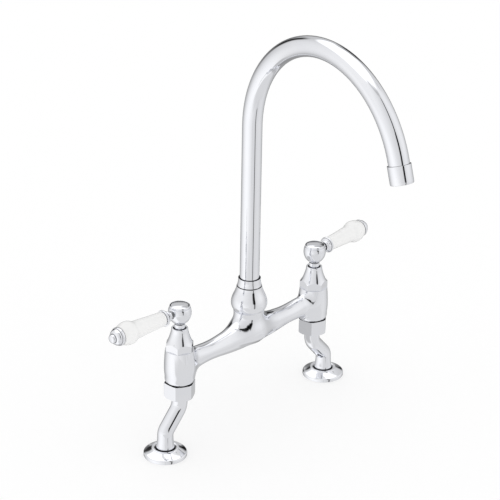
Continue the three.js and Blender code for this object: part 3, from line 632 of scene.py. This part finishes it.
# %% Set the skin's normals from the form
def exact_normals(piece, function, flats):
    """Shades a piece by the form itself, except on the flat seats."""
    mesh = piece.data
    slope = slopes(function, points_of(mesh))
    slope /= np.linalg.norm(slope, axis=1)[:, None]
    corner = np.empty(len(mesh.loops), int)
    mesh.loops.foreach_get("vertex_index", corner)
    normals = slope[corner]
    for face in mesh.polygons:
        if abs(face.normal.z) > 0.98 and any(abs(face.center.z / MM - level) < 0.05 for level in flats):
            for loop in face.loop_indices:
                normals[loop] = face.normal
    mesh.normals_split_custom_set([tuple(n) for n in normals])


exact_normals(casting, casting_distance, (HUB_SEAT, BARREL_TOP, BARREL_FOOT))
# painted shade and grime in the joint where each barrel foot meets its nut
shade_and_grime_marked(casting, (75.3, 76.3, 80, 120))
hand_over(casting, "bridge", "chrome", "bridge_body")

# %% [markdown]
# ## Spout seat
#
# The hub is shaped like an onion and screws into the boss. The collar sits on it where the tube comes
# out. Both are plain lathe work: a long soft curve, then small eased edges at the seams, which, with painted
# shade and grime beside them, draw the dark lines between the pieces.

# %% Hub
hub_curve = flowing([(15.72, 120.55), (16.75, 121.9), (17.95, 124.6), (18.4, 127.6), (18.05, 131.2),
                     (16.9, 134.9), (15.35, 138.4), (14.05, 141.6), (13.25, 144.2), (12.95, 145.5)], 6)
hub = turned("spout_seat_hub", closed(
    [(10.9, HUB_TOP - 0.4), (10.9, HUB_SEAT + 0.05), (15.55, HUB_SEAT + 0.05), (15.72, 120.55)]
    + hub_curve[1:] + eased([(12.95, 145.5), (12.85, HUB_TOP), (12.2, HUB_TOP - 0.05), (10.9, HUB_TOP - 0.4)],
                            0.3)[1:-1]))
shade_and_grime_marked(hub, (145.95, 147, 0, 12.75))
hand_over(hub, "bridge", "chrome", "spout_hub")

# %% [markdown]
# The collar is a short tapered ring that hides the seals and turns with the spout. Its edges are eased by a
# few tenths of a millimetre, and the seams below and above it get painted shade and grime.

# %% Collar
collar_curve = flowing([(12.3, 147.6), (11.85, 149.4), (11.55, 151.6), (11.45, 153.6)], 6)
collar = turned("spout_seat_collar", closed(
    eased([(10.5, COLLAR_TOP - 0.7), (10.5, COLLAR_FOOT), (11.9, COLLAR_FOOT + 0.2), (12.35, 147.1),
           (12.3, 147.6)], 0.25)
    + collar_curve[1:] + eased([(11.45, 153.6), (11.5, COLLAR_TOP), (11.1, COLLAR_TOP - 0.05),
                                (10.5, COLLAR_TOP - 0.7)], 0.3)[1:-1]))
placed(shade_and_grime_marked(collar, (146, 147.05, 0, 13), (154.4, 156, 0, 11.25)), SPOUT_TURN)
hand_over(collar, "spout", "chrome", "spout_collar")

# %% [markdown]
# ## Swan neck
#
# The tube is bent from straight pipe, so it is made that way. A circle is extruded upwards, spun round
# the centre of the arch and extruded once more for the nozzle. Solidify then gives the pipe its wall.

# %% Spout tube
def bend_ring(centre, degrees, steps, away):
    """Spins the selected ring in the XZ plane: away=1 curls a rising ring towards +X."""
    bpy.ops.mesh.spin(steps=steps, angle=radians(degrees), center=Vector(centre) * MM, axis=(0, away, 0))


TUBE_FOOT = 136.0
tube = open_ring("spout_tube_bent", TUBE_RADIUS * MM, Vector((0, 0, TUBE_FOOT)) * MM)
pushed((0, 0, ARCH_LEVEL - TUBE_FOOT))
bend_ring((ARCH_RADIUS, 0, ARCH_LEVEL), ARCH_TURN, 110, -1)
heading = Vector((sin(radians(ARCH_TURN)), 0, cos(radians(ARCH_TURN))))
pushed(heading * NOZZLE_RUN)
face_outward()
bpy.ops.object.mode_set(mode="OBJECT")
print("tube reaches", [round(v / MM, 1) for v in (max(p.co.x for p in tube.data.vertices),
                                               max(p.co.z for p in tube.data.vertices))])
wall = tube.modifiers.new("wall", "SOLIDIFY")
wall.thickness, wall.offset = (TUBE_RADIUS - TUBE_BORE) * MM, -1
only(tube)
bpy.ops.object.modifier_apply(modifier=wall.name)
finish_piece(tube)
placed(tube, SPOUT_TURN - 90)
hand_over(tube, "spout", "chrome", "spout_tube")

# %% [markdown]
# The nozzle ends in a turned ring that holds the aerator, a plate with jets. Its place is the tip of the
# tube, so it is turned on its own axis first and then laid along the last run of the tube.

# %% Nozzle ring
tip_x = ARCH_RADIUS * (1 - cos(radians(ARCH_TURN))) + heading.x * NOZZLE_RUN
tip_z = ARCH_LEVEL + ARCH_RADIUS * sin(radians(ARCH_TURN)) + heading.z * NOZZLE_RUN
nozzle_place = (Matrix.Translation(Vector((tip_x, 0, tip_z)) * MM)
                @ Vector((0, 0, 1)).rotation_difference(heading).to_matrix().to_4x4())
ring = turned("nozzle_ring", closed(
    eased([(10.35, -8.8), (11.1, -8.8), (11.1, 6.6), (11.0, 8.0), (10.75, 8.85), (10.35, 8.85)], 0.45)
    + [(10.35, 8.85)]))
placed(shade_and_grime_marked(ring, (-9, -8.5, 0, 11), (8.6, 9.2, 0, 10.6)), SPOUT_TURN - 90, matrix=nozzle_place)
hand_over(ring, "spout", "chrome", "aerator_housing")

# %% [markdown]
# The jet plate is one moulded piece. A single Boolean cuts its holes with a pin for each, which is easier
# to read than building every hole face by face.

# %% Aerator
JET_RINGS = ((0, 1), (2.6, 6), (5.0, 12), (7.2, 18))  # radius and count of the jets
JET_RADIUS = 0.75


def aerator():
    """A cup with a plate of round jets: a pin is cut through the plate for each."""
    cup = turned("aerator_plate", [(0, 1.6), (10.15, 1.6), (10.15, 7.4), (9.9, 7.6), (8.9, 7.6), (8.75, 7.4),
                                   (8.75, 4.4), (8.3, 4.0), (0, 3.6)])
    pins = []
    for radius, count in JET_RINGS:
        for i in range(count):
            turn = tau * i / count
            nothing_selected()
            bpy.ops.mesh.primitive_cylinder_add(
                vertices=16, radius=JET_RADIUS * MM, depth=8 * MM,
                location=(radius * cos(turn) * MM, radius * sin(turn) * MM, 3 * MM))
            pins.append(bpy.context.object)
    only(*pins)
    bpy.ops.object.join()
    cut_with(cup, pins[0], "DIFFERENCE")
    return finish_piece(cup)


jets = placed(aerator(), SPOUT_TURN - 90, matrix=nozzle_place)
hand_over(jets, "spout", "nylon", "aerator_insert")

# %% [markdown]
# ## Bonnets and union nuts
#
# Both are hexagon bar turned on a lathe, so both are made as the overlap of a hexagonal bar and a turned
# form. That gives the curved chamfer lines that every real nut has. The upright edges are bevelled a
# little before the cut.

# %% Hexagon bar
def hexagon_bar(name, across_flats, foot, top, turn=0.0):
    """A six-sided bar with softened upright edges. Its corners lie along Y before it is turned."""
    nothing_selected()
    bpy.ops.mesh.primitive_cylinder_add(vertices=6, radius=across_flats / 2 / cos(pi / 6) * MM,
                                        depth=(top - foot) * MM, location=(0, 0, (foot + top) / 2 * MM))
    piece = bpy.context.object
    piece.name = piece.data.name = name
    bpy.ops.object.transform_apply(location=True)
    bpy.ops.object.mode_set(mode="EDIT")
    bpy.ops.mesh.select_all(action="DESELECT")
    bpy.ops.object.mode_set(mode="OBJECT")
    for edge in piece.data.edges:
        ends = [piece.data.vertices[i].co for i in edge.vertices]
        edge.select = abs(ends[0].z - ends[1].z) > 1 * MM
    bpy.ops.object.mode_set(mode="EDIT")
    bpy.ops.mesh.bevel(offset=0.35 * MM, segments=3)
    bpy.ops.object.mode_set(mode="OBJECT")
    return placed(piece, turn)


# %% [markdown]
# The bonnet screws into the barrel and guides the spindle: hexagon below for the spanner, and above it a
# long flare like a trumpet. Its flats are turned a little on each side, as a tightened thread leaves them.

# %% Bonnet
def bonnet(name, turn):
    flare = flowing([(13.1, 118.7), (12.2, 120.2), (11.2, 122.5), (10.2, 125.3), (9.25, 128.4), (8.6, 131.0),
                     (8.3, 133.6)], 6)
    form = turned("form", closed(
        [(6.5, BONNET_TOP - 0.3), (6.5, 131.0), (6.9, 128.0), (12.1, 114.0), (12.1, BARREL_TOP + 0.05),
         (15.2, BARREL_TOP + 0.05), (15.2, 116.6), (14.2, 117.5)]
        + flare + eased([(8.3, 133.6), (8.2, BONNET_TOP), (6.8, BONNET_TOP), (6.5, BONNET_TOP - 0.3)],
                        0.5)[1:-1]), 128)
    bar = hexagon_bar(name, BONNET_FLATS, BARREL_TOP - 0.5, BONNET_TOP + 1, turn)
    return shade_and_grime_marked(finish_piece(cut_with(bar, form, "INTERSECT"), 28), (125, 134.2, 0, 7.0))


# %% [markdown]
# The nut draws the leg up against the barrel. It has a chamfer below and a shallow dish above, and the dish,
# with painted shade and grime on it, leaves the dark line under the barrel.

# %% Union nut
def union_nut(name, turn):
    form = turned("form", closed([
        (8.8, NUT_FOOT), (14.5, NUT_FOOT), (15.1, 59.6), (16.2, 61.1), (16.4, 61.6), (16.4, 74.6),
        (15.3, NUT_TOP), (14.9, NUT_TOP), (12.2, NUT_TOP - 0.8), (12.2, NUT_FOOT + 3),
        (8.8, NUT_FOOT + 3)]), 128)
    bar = hexagon_bar(name, NUT_FLATS, NUT_FOOT - 1, NUT_TOP + 1, turn)
    return shade_and_grime_marked(finish_piece(cut_with(bar, form, "INTERSECT"), 28), (74, 75.1, 0, 13.9))


SIDES = {"left": -1, "right": 1}
BONNET_TURNS = {"left": 7.0, "right": -16.0}
NUT_TURNS = {"left": 0.0, "right": 9.0}
for side, sign in SIDES.items():
    piece = placed(bonnet(f"{side}_hexagon_bonnet", BONNET_TURNS[side]), move=(sign * PILLAR, 0, 0))
    hand_over(piece, "bridge", "chrome", f"{side}_bonnet")
    piece = placed(union_nut(f"{side}_hexagon_nut", NUT_TURNS[side]), move=(sign * PILLAR, 0, 0))
    hand_over(piece, "bridge", "chrome", f"{side}_union_nut")

# %% [markdown]
# ## Lever
#
# A lever is a stack of turned pieces: the head with its plain disc, a short neck, a flared ferrule, the
# porcelain grip and an end cap with a button. All but the head and its disc are turned about the lever's
# own axis and then laid on their side. One lever is modelled, and the other is its copy.
#
# The head is a ball with a dished rim, and a plain domed disc lies in the rim to hide the screw. Both are
# turned in place, at the level of the lever.

# %% Head and disc
def lever_head():
    lower = [(11.6 * sin(a), LEVER_LEVEL - 12.9 * cos(a)) for a in np.linspace(radians(31), radians(90), 18)]
    upper = flowing([(11.6, LEVER_LEVEL), (11.42, 153.7), (11.0, 155.6), (10.65, 156.6)], 6)
    # painted shade and grime in the groove under the head and in the rim round the disc
    return shade_and_grime_marked(turned("head", closed(
        eased([(3.4, 150), (3.4, 131.4), (5.4, 131.4), (5.4, 138.9), (5.1, 139.1), (4.2, 139.2), (4.2, 139.9),
               (5.9, 140.1), lower[0]], 0.12)
        + lower[1:] + upper[1:]
        + eased([(10.65, 156.6), (10.5, 156.85), (9.8, 156.95), (9.8, 157.3), (10.3, 157.4), (10.25, 157.9),
                 (9.95, 159.0), (9.6, 159.2), (9.3, 158.9), (9.3, 155.5), (4, 155.5), (3.4, 150)],
                0.2)[1:-1])), (138.95, 139.95, 0, 5.3), (155, 159.0, 0, 9.35))


def index_disc():
    dome = flowing([(8.6, 158.65), (7.2, 158.95), (5.0, 159.28), (2.5, 159.47), (0, 159.53)], 6)
    rim = eased([(0, 155.8), (8.85, 155.8), (8.85, 158.4), (8.6, 158.65)], 0.25)
    return shade_and_grime_marked(turned("disc", [(0, 155.8)] + rim[1:] + dome[1:]), (155, 158.5, 8.75, 9.0))


# %% [markdown]
# These are turned upright from the lever's axis outwards and laid down with one quarter turn, so the
# heights in their outlines are distances from the spindle. The porcelain has no sharp edge anywhere,
# because glaze rounds them off.

# %% Pieces along the lever's axis
def laid_along_x(piece):
    """A piece turned about Z, laid down so that its +Z points along +X at the lever's level."""
    return placed(piece, move=(0, 0, LEVER_LEVEL), matrix=Matrix.Rotation(pi / 2, 4, "Y"))


def lever_stem():
    return shade_and_grime_marked(turned("stem", [(0, 9.0), (4.15, 9.0), (4.15, 11.9), (3.95, 12.3), (3.3, 12.4)]
                  + flowing([(3.3, 12.4), (3.1, 13.2), (3.25, 14.2), (3.7, 14.9)], 5)[1:]
                  + [(2.6, 14.9), (2.6, 79.0), (0, 79.0)]), (9, 12.0, 0, 5), (14.7, 15.5, 0, 4))


def ferrule():
    bead = flowing([(4.6, 15.2), (5.25, 15.6), (5.45, 16.3), (5.2, 17.0), (4.7, 17.3)], 4)
    cup = flowing([(4.7, 17.3), (5.2, 17.9), (6.2, 18.7), (7.2, 19.3), (7.5, 19.7)], 5)
    rim = flowing([(7.4, 19.95), (8.1, 20.25), (8.4, 20.9), (8.35, 21.6), (7.9, 22.0)], 5)
    outline = [(3.0, 22.0), (3.0, 15.2)] + bead + cup[1:] + [(7.2, 19.85)] + rim
    return shade_and_grime_marked(turned("ferrule", closed(outline)),
                   (15, 15.3, 0, 4.7), (17.2, 17.45, 0, 5), (19.6, 20.0, 7.1, 7.6))


def grip():
    curve = flowing([(6.95, 22.7), (7.5, 30.0), (8.05, 42.0), (8.7, 53.0), (9.15, 58.4), (9.75, 60.4),
                     (10.7, 62.4), (11.45, 64.8), (11.65, 67.0), (11.35, 69.8), (10.6, 72.9), (9.7, 75.4)], 8)
    return turned("grip", closed(
        eased([(3.0, 76.7), (3.0, 22.3), (6.6, 22.3), (6.95, 22.7)], 0.3) + curve[1:]
        + eased([(9.7, 75.4), (9.1, 76.7), (3.0, 76.7)], 0.6)[1:-1]))


def end_cap():
    dome = flowing([(8.3, 80.2), (8.05, 81.6), (7.3, 83.0), (6.1, 84.1), (5.0, 84.6)], 6)
    button = flowing([(4.35, 85.2), (4.4, 86.3), (3.95, 87.35), (2.9, 88.0), (1.4, 88.3), (0, 88.35)], 6)
    return shade_and_grime_marked(turned("cap", [(0, 77.0)]
                  + eased([(0, 77.0), (9.0, 77.0), (9.2, 77.6), (9.2, 79.4), (8.9, 79.9), (8.4, 79.95),
                           (8.3, 80.2)], 0.25)[1:]
                  + dome[1:] + eased([(5.0, 84.6), (4.45, 84.7), (4.35, 85.2)], 0.2)[1:] + button[1:]),
                   (77, 77.3, 0, 9.1), (79.9, 80.25, 0, 8.6), (84.55, 84.9, 0, 4.8))


# %% [markdown]
# A left and a right lever are the same pieces, turned half round. A Mirror modifier would turn the outlines
# inside out for no gain, so each piece is copied, turned and moved.

# %% Both levers
LEVER_PIECES = {
    "head": (lever_head(), "chrome"),
    "index_cap": (index_disc(), "chrome"),
    "stem": (laid_along_x(lever_stem()), "chrome"),
    "ferrule": (laid_along_x(ferrule()), "chrome"),
    "handle": (laid_along_x(grip()), "glaze"),
    "end_cap": (laid_along_x(end_cap()), "chrome"),
}
for side, sign in SIDES.items():
    turn = LEVER_LEAN if sign > 0 else 180 - LEVER_LEAN
    for name, (model, slot) in LEVER_PIECES.items():
        piece = placed(twin(model, f"{side}_turned_{name}"), turn, (sign * PILLAR, 0, 0))
        node = f"{side}_index_cap" if name == "index_cap" else f"{side}_lever_{name}"
        hand_over(piece, f"{side}_lever", slot, node)
for model, _ in LEVER_PIECES.values():
    bpy.data.objects.remove(model)

# %% [markdown]
# ## Legs
#
# Each leg is a bent pipe, like the spout, but its bends are tight and its foot swells where it enters the
# flange. It is extruded and spun ring by ring, and the swelling is made by resizing the rings. The foot
# stays open, because the supply comes in there.

# %% Cranked pipe
PIPE_RADIUS, PIPE_BORE, FOOT_RADIUS = 8.1, 5.2, 9.3
CRANK, UPPER_BEND, LOWER_BEND = 43.0, 15.0, 9.4
rise = (1 - cos(radians(CRANK))) * (UPPER_BEND + LOWER_BEND)
slope_run = (LEG_OFFSET - rise) / sin(radians(CRANK))


def crank_pipe():
    start, bend_level = 64.0, NUT_FOOT - 6.2
    pipe = open_ring("crank", PIPE_RADIUS * MM, Vector((0, 0, start)) * MM, 48)
    pushed((0, 0, bend_level - start))
    bend_ring((UPPER_BEND, 0, bend_level), CRANK, 16, 1)
    pushed((slope_run * sin(radians(CRANK)), 0, -slope_run * cos(radians(CRANK))))
    z = bend_level - UPPER_BEND * sin(radians(CRANK)) - slope_run * cos(radians(CRANK))
    lower_centre = (LEG_OFFSET - LOWER_BEND, 0, z - LOWER_BEND * sin(radians(CRANK)))
    bend_ring(lower_centre, CRANK, 16, -1)
    level, radius = lower_centre[2], PIPE_RADIUS
    swelling = flowing([(PIPE_RADIUS, level), (8.2, 18.0), (8.6, 13.5), (9.1, 9.5), (FOOT_RADIUS, 6.0)], 5)
    for new_radius, new_level in swelling[1:] + [(FOOT_RADIUS, 0.0), (PIPE_BORE, 0.0), (PIPE_BORE, 16.0)]:
        pushed((0, 0, new_level - level))
        share = new_radius / radius
        bpy.ops.transform.resize(value=(share, share, 1),
                                 center_override=Vector((LEG_OFFSET, 0, new_level)) * MM)
        level, radius = new_level, new_radius
    bpy.ops.mesh.edge_face_add()
    face_outward()
    # the foot inside the flange gets painted shade and grime
    return shade_and_grime_marked(finish_piece(pipe, 40), (0, 9.2, 0, 40))


# %% [markdown]
# The flange is a shallow cone that hides the hole in the worktop. Its underside is hollowed for a gasket,
# and the small lip above fits round the pipe.

# %% Deck flange
def deck_flange():
    cone = flowing([(21.1, 3.9), (18.4, 5.15), (15.6, 6.7), (13.9, 7.75)], 5)
    return placed(shade_and_grime_marked(turned("flange", closed(
        [(9.9, 7.9), (9.9, 0.4), (10.6, 0.4), (10.6, 1.7), (18.8, 1.7), (18.8, 0)]
        + eased([(18.8, 0), (21.6, 0), (21.8, 0.3), (21.8, 3.1), (21.1, 3.9)], 0.4)[1:] + cone[1:]
        + eased([(13.9, 7.75), (13.6, 8.6), (11.3, 8.6), (9.9, 7.9)], 0.35)[1:-1])), (0, 8.4, 0, 11)),
                  move=(LEG_OFFSET, 0, 0))


LEG_PIECES = {"crank_pipe": crank_pipe(), "deck_flange": deck_flange()}
for side, sign in SIDES.items():
    for name, model in LEG_PIECES.items():
        piece = placed(twin(model, f"{side}_smooth_{name}"), 0 if sign > 0 else 180, (sign * PILLAR, 0, 0))
        hand_over(piece, f"{side}_leg", "chrome", f"{side}_{name}")
for model in LEG_PIECES.values():
    bpy.data.objects.remove(model)

# %% [markdown]
# ## Floor, light and camera
#
# The picture is a plain studio: a white floor, soft white light from all round, and nothing else. Chrome
# would vanish in that, so a studio hangs a few narrow black cards beside the white panels, and their
# reflections draw the dark lines along the metal. Here only mirror rays see walls, ceiling and cards. Matt
# surfaces are lit by plain white, and the camera sees plain white.
#
# The camera stands to the left in front, a little above, with a long lens so that the pillars stay upright.

# %% Camera
AZIMUTH, ELEVATION, ROLL = radians(-47.66), radians(24.69), radians(1.06)
DISTANCE, LENS, AIM = 2.0161, 145.0, Vector((0, 0, 0.18528))
back = Vector((sin(AZIMUTH) * cos(ELEVATION), -cos(AZIMUTH) * cos(ELEVATION), sin(ELEVATION)))
right = Vector((cos(AZIMUTH), sin(AZIMUTH), 0))
up = back.cross(right)
tilted = Matrix((right * cos(ROLL) + up * sin(ROLL), up * cos(ROLL) - right * sin(ROLL), back)).transposed()
lens = bpy.data.cameras.new("view")
lens.lens, lens.sensor_width = LENS, 36.0
lens.clip_start, lens.clip_end = 0.05, 40
camera = bpy.data.objects.new("view", lens)
bpy.context.scene.collection.objects.link(camera)
camera.matrix_world = Matrix.Translation(AIM + back * DISTANCE) @ tilted.to_4x4()
bpy.context.scene.camera = camera
print("camera: lens", LENS, "mm, at", DISTANCE, "m")

# %% [markdown]
# A point of the studio is named by its bearing from the camera's side, as a photographer would place a
# card: 0 is behind the camera, and 90 is to its right. The same sum serves for the sky, from a direction,
# and for the floor, from a place.

# %% Bearings in the studio
facing = atan2(back.y, back.x)
cos_f, sin_f = cos(facing), sin(facing)


def bearing_of(x, y):
    """Degrees to the right of the camera, for a direction or a place on the floor."""
    ahead = x * cos_f + y * sin_f
    aside = y * cos_f - x * sin_f
    return aside.maths("ARCTAN2", aside, ahead) * (180 / pi)


# %% [markdown]
# The walls are two lists of tones round the compass, one low down and one higher up, with a soft step
# between them, and the ceiling is a list of heights at which it begins. Panels of real geometry could do
# it, but a list is quicker to tune and adds no noise.

# %% Walls and ceiling
# bearing in degrees to the right of the camera, and how bright the wall is there, low down and higher up
WHITEST = 1.25
LOW_WALL = [(-180, 0.30), (-150, 0.40), (-130, 0.58), (-105, 0.86), (-85, 1.02), (-60, 1.11), (-40, 1.07),
            (-20, 0.96), (0, 0.84), (20, 0.75), (35, 0.70), (60, 0.79), (90, 0.82), (115, 0.74), (135, 0.60),
            (155, 0.40), (180, 0.30)]
HIGH_WALL = [(-180, 0.60), (-150, 0.64), (-120, 0.82), (-90, 0.94), (-50, 0.97), (-20, 0.87), (0, 0.80),
             (20, 0.74), (45, 0.77), (65, 0.90), (90, 0.96), (115, 0.88), (135, 0.74), (160, 0.62),
             (180, 0.60)]
# bearing, and the height in degrees at which the white ceiling begins
CEILING = [(-180, 32), (-120, 40), (-80, 44), (-60, 52), (-40, 62), (-25, 74), (45, 76), (65, 71), (110, 62),
           (150, 42), (180, 32)]


def around(sheet, bearing, stops, top):
    """The value of a list of stops at each bearing."""
    ramp = {"stops": [((at + 180) / 360, grey(value / top)) for at, value in stops]}
    return sheet.node("ShaderNodeValToRGB", ramp, {0: (bearing + 180) / 360})


# %% [markdown]
# Matt rays and the camera see a white floor, half lit and half glowing, so that the shadow stays faint.
# Mirror rays see a table that is a little darker, a bench beyond its edge in the tone of the walls, and a
# slot in the bench through which a black card shows.

# %% Floor
TABLE_TONE, SHADED_TONE = 0.76, 0.56  # what mirror rays see of the table, and of it between the pillars
TABLE_EDGE = 0.262                    # metres from the faucet to the front edge of the table
BENCH_REACH = 0.62                    # metres from the faucet to the far end of the bench
SLOT_BEARING = 36.0

nothing_selected()
bpy.ops.mesh.primitive_grid_add(x_subdivisions=8, y_subdivisions=8, size=12, location=(0, 0, 0))
floor = bpy.context.object
floor.name = "studio_floor"
paint = bpy.data.materials.new("studio floor")
paint.use_nodes = True
sheet = Sheet(paint.node_tree)
spot = sheet.node("ShaderNodeTexCoord", output=3)
across, along = (sheet.node("ShaderNodeSeparateXYZ", None, {0: spot}, output=i) for i in (0, 1))


def glowing(colour, strength=1.0):
    return sheet.node("ShaderNodeEmission", None, {"Color": colour, "Strength": strength})


matt = sheet.choice(0.5, sheet.node("ShaderNodeBsdfDiffuse", None, {"Color": grey(1.0)}), glowing(grey(1.0)))
table = (sheet.smooth_step(across, -0.50, -0.26) * sheet.smooth_step(0.18 - across, 0, 0.04)
         * sheet.smooth_step(along, -TABLE_EDGE - 0.005, -TABLE_EDGE - 0.001)
         * sheet.smooth_step(-0.03 - along, 0, 0.03))
mirrored_floor = sheet.choice(table, sheet.node("ShaderNodeBsdfTransparent"), glowing(grey(TABLE_TONE)))
# between the pillars the table that mirror rays see is darker still: painted shade
between = (sheet.smooth_step(across, -0.12, -0.08) * sheet.smooth_step(0.07 - across, 0, 0.02)
           * sheet.smooth_step(along, -0.04, -0.01) * sheet.smooth_step(0.16 - along, 0, 0.04))
mirrored_floor = sheet.choice(between, mirrored_floor, glowing(grey(SHADED_TONE)))
lie = bearing_of(across, along)
distance = across.maths("SQRT", across * across + along * along, 0)
slot_off = lie - SLOT_BEARING
beside_slot = sheet.smooth_step(slot_off.maths("ABSOLUTE", slot_off, 0), 5, 8)
bench = (sheet.smooth_step(-TABLE_EDGE - along, 0, 0.004) * sheet.smooth_step(BENCH_REACH - distance, 0, 0.06)
         * beside_slot)
mirrored_floor = sheet.choice(bench, mirrored_floor, glowing(around(sheet, lie, LOW_WALL, WHITEST), WHITEST))
sheet.show(sheet.choice(sheet.node("ShaderNodeLightPath", output="Is Glossy Ray"), matt, mirrored_floor),
           "Material")
floor.data.materials.append(paint)
print("floor: table tone", TABLE_TONE, "and bench to", BENCH_REACH, "m")

# %% [markdown]
# The sky is worked out from the direction alone. Each card darkens a patch with soft edges at its bearing
# and height, and the shares that all the cards leave open are multiplied.

# %% Sky with panels and cards
# bearing, height, half width, half height and softness in degrees, darkness, lean per degree of height
CARDS = [(36, 34, 6.0, 30, 2.0, 0.97, 0.0), (34, 20, 8.5, 13, 3.0, 0.9, 0.0),
         (36, -17, 3.8, 27, 2.0, 0.85, 0.0), (-149, 14, 9, 13, 5, 0.95, 0.2),
         (163, 15, 7, 12, 4, 0.97, 0.0), (-173, 2, 36, 11, 5, 0.55, 0.0),
         (168, 38, 11, 4, 2.5, 0.6, 0.0), (121, 46, 5, 2.5, 2, 0.4, 0.0),
         (10, 68, 50, 3.0, 2, 0.25, 0.0), (3, -22, 1.4, 14, 1.0, 0.2, 0.0)]

world = bpy.data.worlds.new("studio")
bpy.context.scene.world = world
world.use_nodes = True
sky = Sheet(world.node_tree)
direction = sky.node("ShaderNodeTexCoord", output=0)
parts = [sky.node("ShaderNodeSeparateXYZ", None, {0: direction}, output=i) for i in range(3)]
bearing = bearing_of(parts[0], parts[1])
height = parts[2].maths("ARCSINE", parts[2], 0) * (180 / pi)


def card(bearing_at, height_at, half_width, half_height, soft, lean):
    """1 inside a card that hangs at this bearing and height, in degrees, and 0 outside."""
    off = bearing - bearing_at - (height - height_at) * lean
    off = sky.node("ShaderNodeMath", {"operation": "WRAP"}, {0: off, 1: 180.0, 2: -180.0})
    across = 1 - sky.smooth_step(off.maths("ABSOLUTE", off, 0), half_width - soft, half_width + soft)
    rise = height - height_at
    along = 1 - sky.smooth_step(rise.maths("ABSOLUTE", rise, 0), half_height - soft, half_height + soft)
    return across * along


wall = sky.mixed(sky.smooth_step(height, -12, 14), around(sky, bearing, LOW_WALL, WHITEST),
                 around(sky, bearing, HIGH_WALL, WHITEST))
above = height - around(sky, bearing, CEILING, 90.0) * 90.0
panels = sky.mixed(sky.smooth_step(above, -3, 3), wall, grey(1.0))
open_share = 1.0
for bearing_at, height_at, half_width, half_height, soft, darkness, lean in CARDS:
    covered = card(bearing_at, height_at, half_width, half_height, soft, lean)
    open_share = (1 - covered * darkness) * open_share
mirrored = sky.node("ShaderNodeBackground", None, {"Color": panels, "Strength": open_share * WHITEST})
plain = sky.node("ShaderNodeBackground", None, {"Color": grey(1.0), "Strength": 1.0})
sky.show(sky.choice(sky.node("ShaderNodeLightPath", output="Is Glossy Ray"), plain, mirrored), "World")
bpy.context.scene.view_settings.view_transform = "Standard"
print("studio:", len(LOW_WALL) + len(HIGH_WALL), "wall stops and", len(CARDS), "cards")
